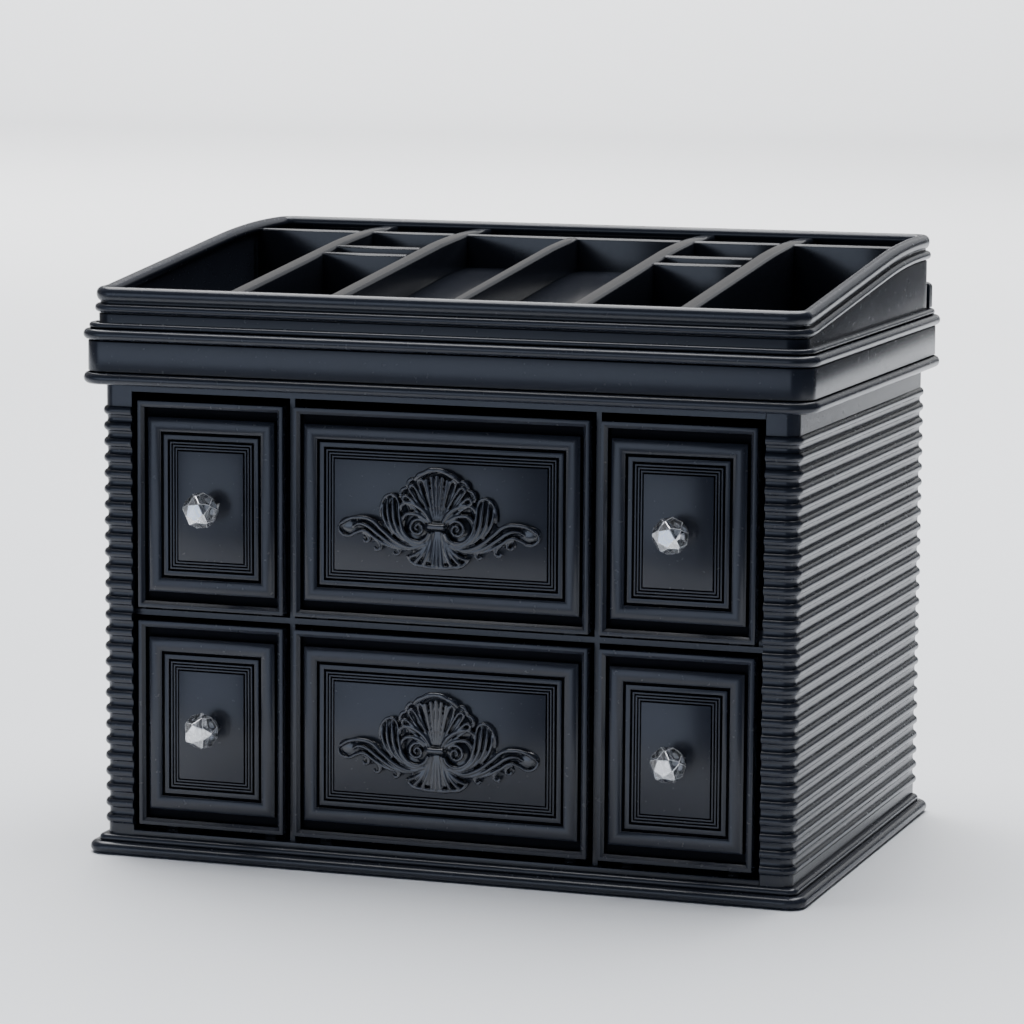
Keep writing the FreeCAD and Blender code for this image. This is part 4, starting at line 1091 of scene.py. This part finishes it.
EAR_RIBS = (
    ((3.4, -2.6, 0.7, 3.4), (5.6, -5.8, 0.8, 3.2), (10.2, -6.6, 0.85, 3.0), (14.6, -3.6, 0.85, 2.9),
     (16.6, 2.0, 0.8, 2.8), (17.6, 9.6, 0.5, 2.3)),
    ((4.2, -5.0, 0.6, 3.0), (9.4, -8.0, 0.8, 2.9), (15.0, -5.2, 0.85, 2.9), (18.6, 0.4, 0.85, 3.0),
     (19.6, 6.0, 0.8, 2.9), (20.2, 11.4, 0.5, 2.3)),
    ((12.6, -7.6, 0.7, 2.6), (17.6, -4.6, 0.8, 2.7), (21.0, 0.6, 0.8, 2.8), (22.2, 6.0, 0.75, 2.7),
     (22.4, 10.8, 0.45, 2.2)),
    ((19.6, -4.4, 0.7, 2.4), (22.8, 0.0, 0.8, 2.5), (24.4, 4.4, 0.75, 2.4), (24.4, 8.6, 0.45, 2.0)),
    ((17.4, 9.4, 0.6, 2.2), (19.0, 12.0, 0.75, 2.3), (21.6, 12.4, 0.75, 2.3), (24.2, 10.4, 0.7, 2.1),
     (25.6, 6.6, 0.7, 1.9), (25.6, 2.4, 0.6, 1.7)),
)
LEAF_RIBS = (
    ((5.0, -7.6, 0.7, 2.9), (11.0, -9.4, 0.85, 2.8), (18.0, -7.4, 0.95, 2.7), (24.6, -2.6, 0.95, 2.7),
     (29.6, 1.4, 0.95, 2.7), (34.6, 2.2, 0.95, 2.5), (40.0, 1.2, 0.85, 2.2), (44.0, -1.2, 0.7, 1.8)),
    ((6.4, -9.0, 0.6, 2.6), (13.0, -10.2, 0.75, 2.6), (20.0, -8.4, 0.85, 2.6), (26.6, -4.4, 0.9, 2.6),
     (31.4, -1.2, 0.9, 2.6), (35.4, -0.6, 0.7, 2.2), (38.0, -2.0, 0.45, 1.8)),
    ((14.0, -10.8, 0.6, 2.2), (21.6, -9.4, 0.75, 2.3), (28.0, -6.2, 0.85, 2.4), (33.0, -3.4, 0.85, 2.4),
     (36.4, -4.4, 0.75, 2.1), (40.4, -6.0, 0.75, 1.9), (43.8, -4.4, 0.7, 1.8), (44.6, -1.8, 0.6, 1.7)),
)
UNDER_CURLS = (
    ((21.0, -8.8, 0.7, 2.2), (18.6, -9.6, 0.9, 2.3), (17.0, -11.4, 0.9, 2.3), (18.4, -12.8, 0.8, 2.2),
     (19.8, -11.6, 0.7, 2.4)),
    ((28.2, -6.8, 0.7, 2.2), (26.0, -8.2, 0.9, 2.2), (25.6, -10.4, 0.9, 2.1), (27.4, -11.2, 0.8, 2.1),
     (28.2, -9.8, 0.6, 2.3)),
    ((33.6, -4.4, 0.6, 2.1), (31.2, -5.4, 0.8, 2.1), (30.8, -7.4, 0.85, 2.0), (32.6, -8.0, 0.7, 2.0),
     (33.2, -6.6, 0.5, 2.1)),
)
SKIRT_RIBS = (
    ((2.0, -2.2, 0.6, 3.0), (2.9, -7.0, 0.75, 2.6), (4.4, -12.0, 0.95, 2.8), (6.2, -16.2, 0.9, 2.6)),
    ((2.5, -2.4, 0.6, 3.0), (4.2, -7.6, 0.8, 2.6), (6.8, -12.2, 1.0, 2.8), (9.8, -15.4, 0.9, 2.5)),
    ((3.0, -3.0, 0.6, 3.0), (5.4, -8.6, 0.8, 2.6), (8.8, -11.8, 1.0, 2.7), (12.8, -13.6, 0.8, 2.3)),
    ((0, -17.4, 0.9, 2.2), (3.8, -17.2, 1.1, 2.3), (6.6, -16.9, 0.9, 2.2), (9.6, -16.5, 1.1, 2.1),
     (12.2, -15.0, 0.9, 1.9), (13.8, -12.8, 0.8, 1.7)),
)
# Soft ground under the ribs: middle across and up, half sizes, height and turn in degrees.
CARVING_GROUND = (
    (0, 11.0, 10.5, 11.6, 2.7, 0), (8.0, 10.0, 6.6, 7.4, 2.0, -30), (8.7, -1.2, 5.6, 5.4, 2.2, 0),
    (19.6, 2.6, 5.4, 9.4, 2.2, -18), (0, -8.6, 5.6, 8.6, 1.8, 0), (6.4, -10.6, 6.4, 5.2, 1.6, -30),
    (14.0, -6.6, 9.0, 4.0, 2.0, 12), (26.6, -3.4, 8.4, 3.6, 1.9, 30), (39.6, -2.0, 5.4, 3.9, 1.9, -10),
    (32.6, -0.8, 6.0, 2.8, 1.8, 6),
)
# Points of the ridge round a flute's tip: shares aside and along, thickness and height.
LOOP_TIP = ((-1.0, -1.0, 0.62, 3.5), (-0.8, 0.5, 0.72, 3.5), (0.0, 1.0, 0.8, 3.3), (0.8, 0.5, 0.72, 3.3),
            (1.0, -1.0, 0.62, 3.2))
# The ridge at the hub: distance aside, thickness and height.
LOOP_HUB = (0.35, 0.4, 3.0)
# Straight flutes: where they start and half their width there, where they end and half their width
# there, and their heights at both.
SHELL_FAN = (2.0, 1.5, 21.6, 4.8, 3.0, 3.4)
SKIRT_FAN = (-1.8, 1.3, -16.8, 3.9, 2.6, 2.4)


class VANITY_OT_ornaments(bpy.types.Operator):
    """Carve the shell ornaments: ribs laid along the forms, then melted into one relief"""

    bl_idname = "vanity.ornaments"
    bl_label = "Ornaments"

    # In millimetres, as in the tables above
    bar_half = 3.6
    bar_radius = 1.3
    bar_height = 4.2
    # Height of the bar's middle over the ornament's foot, as a share of the whole height
    middle_share = 17.7 / 42.0
    ease_share = 0.5
    ease_rounds = 3
    smooth_angle = math.radians(60)
    rib_rounding = 4
    rib_steps = 10
    fan_fall = 1.6
    fan_thickness = (0.32, 0.98)
    volute_steps = 20
    volute_start = 150
    volute_turn = 620
    volute_reach = 3.5
    volute_eye = 0.4
    volute_middle = (8.6, -0.9)
    # At the start, and the change to the eye
    volute_thickness = (0.8, -0.3)
    volute_height = (2.9, 0.6)
    mound_segments = 32
    mound_rings = 16

    def execute(self, context):
        low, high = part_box("lower_shell_ornament")
        middle = Vector((0, high.y, low.z + (high.z - low.z) * self.middle_share))
        relief = self.model_relief(context.scene.vanity_carving, middle)
        upper_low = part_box("upper_shell_ornament")[0]
        twin = moved_copy(relief, "upper_shell_carving", upper_low - low)
        for piece, row in ((relief, "lower"), (twin, "upper")):
            # Painted highlight: the carving gets the lighter, shinier copy of the plastic.
            dress(piece, finish_for("carving_gloss"), row + "_centre_drawer", "black_plastic",
                  row + "_shell_ornament")
        return {"FINISHED"}

    def model_relief(self, settings, middle):
        """Ribs and mounds, mirrored, melted together and cut off flat at the back."""
        relief = self.lay_ribs(settings, middle)
        join_to(relief, [self.ground(middle, *form) for form in CARVING_GROUND])
        apply_modifier(relief, "MIRROR", use_mirror_merge=False)
        apply_modifier(relief, "REMESH", mode="VOXEL", voxel_size=settings.voxel)
        apply_modifier(relief, "SMOOTH", factor=self.ease_share, iterations=self.ease_rounds)
        edit_mode()
        cut((0, middle.y, 0), clear_outer=True, use_fill=True)
        clean_mesh()
        object_mode()
        shade(self.smooth_angle)
        return relief

    def lay_ribs(self, settings, middle):
        """All ribs as splines of one curve, turned into a mesh."""
        deselect_all()
        bpy.ops.curve.primitive_bezier_curve_add(location=(0, 0, 0))
        curve = bpy.context.object
        curve.name = "lower_shell_carving"
        curve.data.splines.clear()
        curve.data.bevel_depth = MM
        curve.data.bevel_resolution = self.rib_rounding
        curve.data.resolution_u = self.rib_steps
        curve.data.use_fill_caps = True
        ribs = [SHELL_LIP, *VOLUTE_BANDS, *SHELL_LOBES, *EAR_RIBS, *LEAF_RIBS, *UNDER_CURLS, *SKIRT_RIBS]
        ribs += [self.loop(*form) for form in SHELL_LOOPS]
        ribs += self.fan(settings.flutes // 2 + 1, *SHELL_FAN)
        ribs += self.fan(settings.skirt_flutes // 2 + 1, *SKIRT_FAN)
        ribs.append(self.volute())
        ribs.append([(across, 0, self.bar_radius, self.bar_height) for across in (0, self.bar_half)])
        for rib in ribs:
            self.add_rib(curve.data, middle, rib)
        bpy.ops.object.convert(target="MESH")
        return bpy.context.object

    def add_rib(self, data, middle, points):
        """One rib as a smooth spline."""
        spline = data.splines.new("BEZIER")
        spline.bezier_points.add(len(points) - 1)
        for knot, (across, up, thickness, height) in zip(spline.bezier_points, points):
            knot.co = middle + Vector((across, -height, up)) * MM
            knot.radius = thickness
            knot.handle_left_type = "AUTO"
            knot.handle_right_type = "AUTO"

    def fan(self, count, start, start_half, end, end_half, low_height, high_height):
        """Straight thin ribs that spread from a hub, right half and middle."""
        ribs = []
        thin, thick = self.fan_thickness
        for i in range(count):
            share = i / (count - 1)
            fall = self.fan_fall * share * share * math.copysign(1, end)
            ribs.append(((start_half * share, start, thin, low_height),
                         (end_half * share, end - fall, thick, high_height)))
        return ribs

    def loop(self, tip_across, tip_up, half, hub_across, hub_up):
        """A flute edged by a ridge that runs up one side, round the tip and down the other."""
        tip = Vector((tip_across, tip_up))
        hub = Vector((hub_across, hub_up))
        along = (tip - hub).normalized()
        aside = Vector((along.y, -along.x))
        hub_aside, hub_thickness, hub_height = LOOP_HUB
        places = [(tip + aside * half * a + along * half * b, thickness, height)
                  for a, b, thickness, height in LOOP_TIP]
        places.insert(0, (hub - aside * hub_aside, hub_thickness, hub_height))
        places.append((hub + aside * hub_aside, hub_thickness, hub_height))
        return [(place.x, place.y, thickness, height) for place, thickness, height in places]

    def volute(self):
        """A spiral that winds in from the bar's end."""
        points = []
        for i in range(self.volute_steps + 1):
            share = i / self.volute_steps
            angle = math.radians(self.volute_start - self.volute_turn * share)
            reach = self.volute_reach * (1 - share) + self.volute_eye
            thickness, height = (first + change * share
                                 for first, change in (self.volute_thickness, self.volute_height))
            points.append((self.volute_middle[0] + reach * math.cos(angle),
                           self.volute_middle[1] + reach * math.sin(angle), thickness, height))
        return points

    def ground(self, middle, across, up, half_across, half_up, height, turn):
        """A low mound."""
        bpy.ops.mesh.primitive_uv_sphere_add(
            segments=self.mound_segments, ring_count=self.mound_rings, radius=1,
            rotation=(0, math.radians(turn), 0), location=middle + Vector((across, 0, up)) * MM,
            scale=(half_across * MM, height * MM, half_up * MM))
        mound = bpy.context.object
        bpy.ops.object.transform_apply(location=True, rotation=True, scale=True)
        return mound


# Drawer fronts

class VANITY_OT_drawer_fronts(bpy.types.Operator):
    """Model the panelled drawer fronts: rim, groove, broad roll, strips and field"""

    bl_idname = "vanity.drawer_fronts"
    bl_label = "Drawer fronts"

    rim = 1.5 * MM
    bevel = 1.3 * MM
    depth = 4.0 * MM
    thickness = 6.5 * MM
    side_groove = 1.6 * MM
    end_groove = 4.2 * MM
    shoulder = 1.6 * MM
    roll_width = 6.0 * MM
    roll_rise = 0.4 * MM
    roll_bulge = 1.15 * MM
    roll_steps = 14
    roll_drop = 1.4 * MM
    # Width of the groove before each strip, and the strip's own width
    strips = ((1.2 * MM, 2.0 * MM), (0.9 * MM, 0.8 * MM), (0.5 * MM, 0.8 * MM), (0.5 * MM, 0.8 * MM))
    strip_rise = 1.3 * MM
    field_groove = 0.5 * MM
    field_rise = 1.6 * MM
    shade_from = 2.2 * MM
    edge_angle = math.radians(50)
    smooth_angle = math.radians(35)

    def execute(self, context):
        models = {}
        for row in ROWS:
            for column in COLUMNS:
                node = "%s_%s_drawer_front" % (row, column)
                kind = "wide" if column == "centre" else "narrow"
                low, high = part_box(node)
                if kind not in models:
                    piece = self.model_front(context, low, high, node)
                    models[kind] = (piece, low)
                else:
                    model, place = models[kind]
                    move = Vector((low.x - place.x, 0, low.z - place.z))
                    piece = moved_copy(model, node + "_moulded", move)
                body = "%s_%s_drawer" % (row, column)
                dress(piece, finish_for("black_satin"), body, "black_plastic", node)
                self.paint_groove_shade(piece)
        return {"FINISHED"}

    def paint_groove_shade(self, piece):
        """Paint shade on the floors and walls of the grooves with a darker, rougher finish that has little
        sheen.
        """
        front = min(v.co.y for v in piece.data.vertices) + self.shade_from
        back = max(v.co.y for v in piece.data.vertices) - NEAR
        second_finish(piece, "groove_dull", lambda f: front < f.calc_center_median().y < back
                      and not self.is_outer(piece, f))

    def is_outer(self, piece, face):
        """Whether a face lies in one of the block's four outer sides."""
        middle = face.calc_center_median()
        # Corners 0 and 6 of an object's box are its lowest and its highest.
        low = Vector(piece.bound_box[0])
        high = Vector(piece.bound_box[6])
        edges = (middle.x - low.x, high.x - middle.x, middle.z - low.z, high.z - middle.z)
        return min(edges) < self.rim / 2

    def profile(self):
        """Moves (inward, outward) from the groove's inner wall to the field."""
        steps = [(0, self.depth - self.shoulder)]
        steps += arc_steps(self.roll_width, self.roll_rise, self.roll_bulge, self.roll_steps)
        steps.append((0, -self.roll_drop))
        for groove, strip in self.strips:
            steps += [(groove, 0), (0, self.strip_rise), (strip, 0), (0, -self.strip_rise)]
        return steps + [(self.field_groove, 0), (0, self.field_rise)]

    def model_front(self, context, low, high, node):
        """A block whose front face is inset and pushed along the profile."""
        deselect_all()
        face = high.y - self.thickness
        size = Vector((high.x - low.x, self.thickness, high.z - low.z))
        centre = Vector(((low.x + high.x) / 2, face + self.thickness / 2, (low.z + high.z) / 2))
        bpy.ops.mesh.primitive_cube_add(size=1, location=centre, scale=size)
        piece = begin(node + "_moulded")
        pick("faces", lambda f: f.normal.y < -FACES_AXIS)
        self.step(self.rim, 0)
        self.step(self.bevel, -self.bevel)
        self.step(0, self.bevel - self.depth)
        self.step(self.side_groove, 0)
        inner = size.z - 2 * (self.rim + self.bevel + self.side_groove)
        taper = (inner - 2 * (self.end_groove - self.side_groove)) / inner
        bpy.ops.transform.resize(value=(1, 1, taper), center_override=centre)
        for inward, outward in self.profile():
            self.step(inward, outward)
        select_all()
        soften(piece, context.scene.vanity_moulding.edge, self.edge_angle, self.smooth_angle)
        return piece

    def step(self, inward, outward):
        """Carry the selected face inwards and outwards by a pair of moves."""
        if inward:
            bpy.ops.mesh.inset(thickness=inward, depth=outward, use_even_offset=True)
        else:
            extrude((0, -outward, 0))


# Plain solids and stage

class VANITY_OT_inside(bpy.types.Operator):
    """Finish the plain solids inside the cabinet"""

    bl_idname = "vanity.inside"
    bl_label = "Inside"

    finishes = {"black_plastic": "black_satin", "screw_steel": "plated_steel"}

    def execute(self, context):
        hidden = {name for piece in bpy.data.objects for name in piece.get("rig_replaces", [])}
        for entry in frame["record"]["subparts"]:
            if entry["node"] in hidden:
                continue
            for slot in frame["nodes"][entry["node"]].material_slots:
                slot.link = "OBJECT"
                slot.material = finish_for(self.finishes[entry["material_slot"]])
        return {"FINISHED"}


class VANITY_OT_stage(bpy.types.Operator):
    """Set the floor, the soft light and the camera"""

    bl_idname = "vanity.stage"
    bl_label = "Stage"

    floor_size = 60.0
    floor_front = 0.44
    floor_right = 0.80
    floor_back = 7.5
    sweep_height = 0.9
    fold_share = 0.85
    fold_segments = 12
    # Parts of the sky, from front to back and from right to left, over which it brightens
    sky_depth = (-0.7, 0.8)
    sky_width = (0.35, -0.05)
    # Width of the camera's sensor in millimetres, and the nearest distance it shows
    sensor = 36.0
    nearest = 0.01
    middle = (0, 0, 0.15)
    # Where each lamp stands, what it is aimed at, its width and height, and its colour
    lamps = {
        "window": ((-0.95, 1.5, 2.0), middle, (1.4, 0.6), (1.0, 0.96, 0.91)),
        "overhead": ((-0.2, 0.6, 2.2), middle, (2.5, 2.5), (0.97, 0.98, 1.0)),
        "side": ((0.55, 2.1, 0.95), middle, (1.3, 1.0), (0.96, 0.98, 1.0)),
        "fill": ((-1.05, -2.4, 0.20), middle, (1.9, 1.3), (0.68, 0.79, 1.0)),
        "backdrop": ((-3.0, 3.2, 3.4), (-3.0, 7.2, 0), (7.0, 3.0), (1.0, 0.99, 0.98)),
    }

    def execute(self, context):
        settings = context.scene.vanity_stage
        self.floor()
        self.sky(context, settings)
        for name, form in self.lamps.items():
            self.light(name + "_light", getattr(settings, name), *form)
        self.camera(context, settings)
        return {"FINISHED"}

    def floor(self):
        """A pale floor that ends a little in front and on the right, and sweeps up far behind."""
        deselect_all()
        half = self.floor_size / 2
        bpy.ops.mesh.primitive_plane_add(
            size=self.floor_size, location=(self.floor_right - half, half - self.floor_front, 0))
        floor = begin("floor")
        cut((0, self.floor_back, 0), clear_outer=True)
        pick("edges", lies_at(Y, self.floor_back))
        extrude((0, 0, self.sweep_height))
        at_back = lies_at(Y, self.floor_back)
        at_foot = lies_at(Z, 0)
        pick("edges", lambda edge: at_back(edge) and at_foot(edge))
        bpy.ops.mesh.bevel(offset=self.fold_share * self.sweep_height, segments=self.fold_segments)
        point_mode()
        object_mode()
        shade()
        floor.data.materials.append(pale_floor("pale_floor"))

    def sky(self, context, settings):
        """A sky that is dim in front and on the right, with pale paper where the floor ends."""
        world = bpy.data.worlds.new("even_sky")
        world.use_nodes = True
        nodes = world.node_tree.nodes
        links = world.node_tree.links
        background = nodes["Background"]
        place = nodes.new("ShaderNodeTexCoord")
        split = nodes.new("ShaderNodeSeparateXYZ")
        links.new(place.outputs["Generated"], split.inputs["Vector"])
        both = nodes.new("ShaderNodeMath")
        both.operation = "MULTIPLY"
        links.new(add_range(nodes, links, split.outputs["Y"], 0.0, 1.0, self.sky_depth), both.inputs[0])
        links.new(add_range(nodes, links, split.outputs["X"], 0.0, 1.0, self.sky_width), both.inputs[1])
        colour = add_ramp(nodes, links, both.outputs["Value"], settings.near_sky, settings.far_sky)
        links.new(colour, background.inputs["Color"])
        background.inputs["Strength"].default_value = settings.sky
        paper = nodes.new("ShaderNodeBackground")
        paper.inputs["Color"].default_value = (*settings.floor_colour, 1)
        paper.inputs["Strength"].default_value = settings.paper
        # The camera sees the paper; the pieces are lit by the sky and mirror it.
        seen = nodes.new("ShaderNodeLightPath")
        choose = nodes.new("ShaderNodeMixShader")
        links.new(seen.outputs["Is Camera Ray"], choose.inputs["Fac"])
        links.new(background.outputs["Background"], choose.inputs[1])
        links.new(paper.outputs["Background"], choose.inputs[2])
        links.new(choose.outputs["Shader"], nodes["World Output"].inputs["Surface"])
        context.scene.world = world

    def light(self, name, power, place, target, size, colour):
        """A softbox aimed at a point."""
        aim = Vector(target) - Vector(place)
        turn = aim.to_track_quat("-Z", "Y").to_euler()
        bpy.ops.object.light_add(type="AREA", location=place, rotation=turn)
        lamp = bpy.context.object
        lamp.name = name
        lamp.data.energy = power
        lamp.data.shape = "RECTANGLE"
        lamp.data.size = size[0]
        lamp.data.size_y = size[1]
        lamp.data.color = colour

    def camera(self, context, settings):
        """The camera, from its place and its three turns."""
        yaw = settings.camera_yaw
        pitch = settings.camera_pitch
        roll = settings.camera_roll
        right = Vector((math.cos(yaw), math.sin(yaw), 0))
        ahead = Vector((-math.sin(yaw) * math.cos(pitch), math.cos(yaw) * math.cos(pitch), -math.sin(pitch)))
        down = ahead.cross(right)
        rolled_right = right * math.cos(roll) + down * math.sin(roll)
        rolled_down = down * math.cos(roll) - right * math.sin(roll)
        turn = Matrix((rolled_right, -rolled_down, -ahead)).transposed()
        bpy.ops.object.camera_add(location=settings.camera_place, rotation=turn.to_euler())
        camera = context.object
        camera.name = "photo_camera"
        camera.data.lens = settings.camera_lens
        camera.data.sensor_width = self.sensor
        camera.data.clip_start = self.nearest
        context.scene.camera = camera


class VANITY_PT_sidebar(bpy.types.Panel):
    """Steps of the vanity organizer"""

    bl_label = "Vanity organizer"
    bl_idname = "VANITY_PT_sidebar"
    bl_space_type = "VIEW_3D"
    bl_region_type = "UI"
    bl_category = "Vanity"

    def draw(self, context):
        for step in OPERATORS:
            self.layout.operator(step.bl_idname)


SETTINGS = {
    "vanity_plastic": VanityPlastic,
    "vanity_moulding": VanityMoulding,
    "vanity_carving": VanityCarving,
    "vanity_crystal": VanityCrystal,
    "vanity_stage": VanityStage,
}
OPERATORS = (
    VANITY_OT_side_panels,
    VANITY_OT_plinth,
    VANITY_OT_cornice,
    VANITY_OT_tray,
    VANITY_OT_partitions,
    VANITY_OT_drawer_fronts,
    VANITY_OT_ornaments,
    VANITY_OT_knobs,
    VANITY_OT_inside,
    VANITY_OT_stage,
)


def register():
    for name, group in SETTINGS.items():
        bpy.utils.register_class(group)
        setattr(bpy.types.Scene, name, PointerProperty(type=group))
    for step in OPERATORS:
        bpy.utils.register_class(step)
    bpy.utils.register_class(VANITY_PT_sidebar)


def unregister():
    bpy.utils.unregister_class(VANITY_PT_sidebar)
    for step in reversed(OPERATORS):
        bpy.utils.unregister_class(step)
    for name, group in SETTINGS.items():
        delattr(bpy.types.Scene, name)
        bpy.utils.unregister_class(group)


def main():
    register()
    bpy.ops.vanity.side_panels()
    bpy.ops.vanity.plinth()
    bpy.ops.vanity.cornice()
    bpy.ops.vanity.tray()
    bpy.ops.vanity.partitions()
    bpy.ops.vanity.drawer_fronts()
    bpy.ops.vanity.ornaments()
    bpy.ops.vanity.knobs()
    bpy.ops.vanity.inside()
    bpy.ops.vanity.stage()


if __name__ == "__main__":
    main()
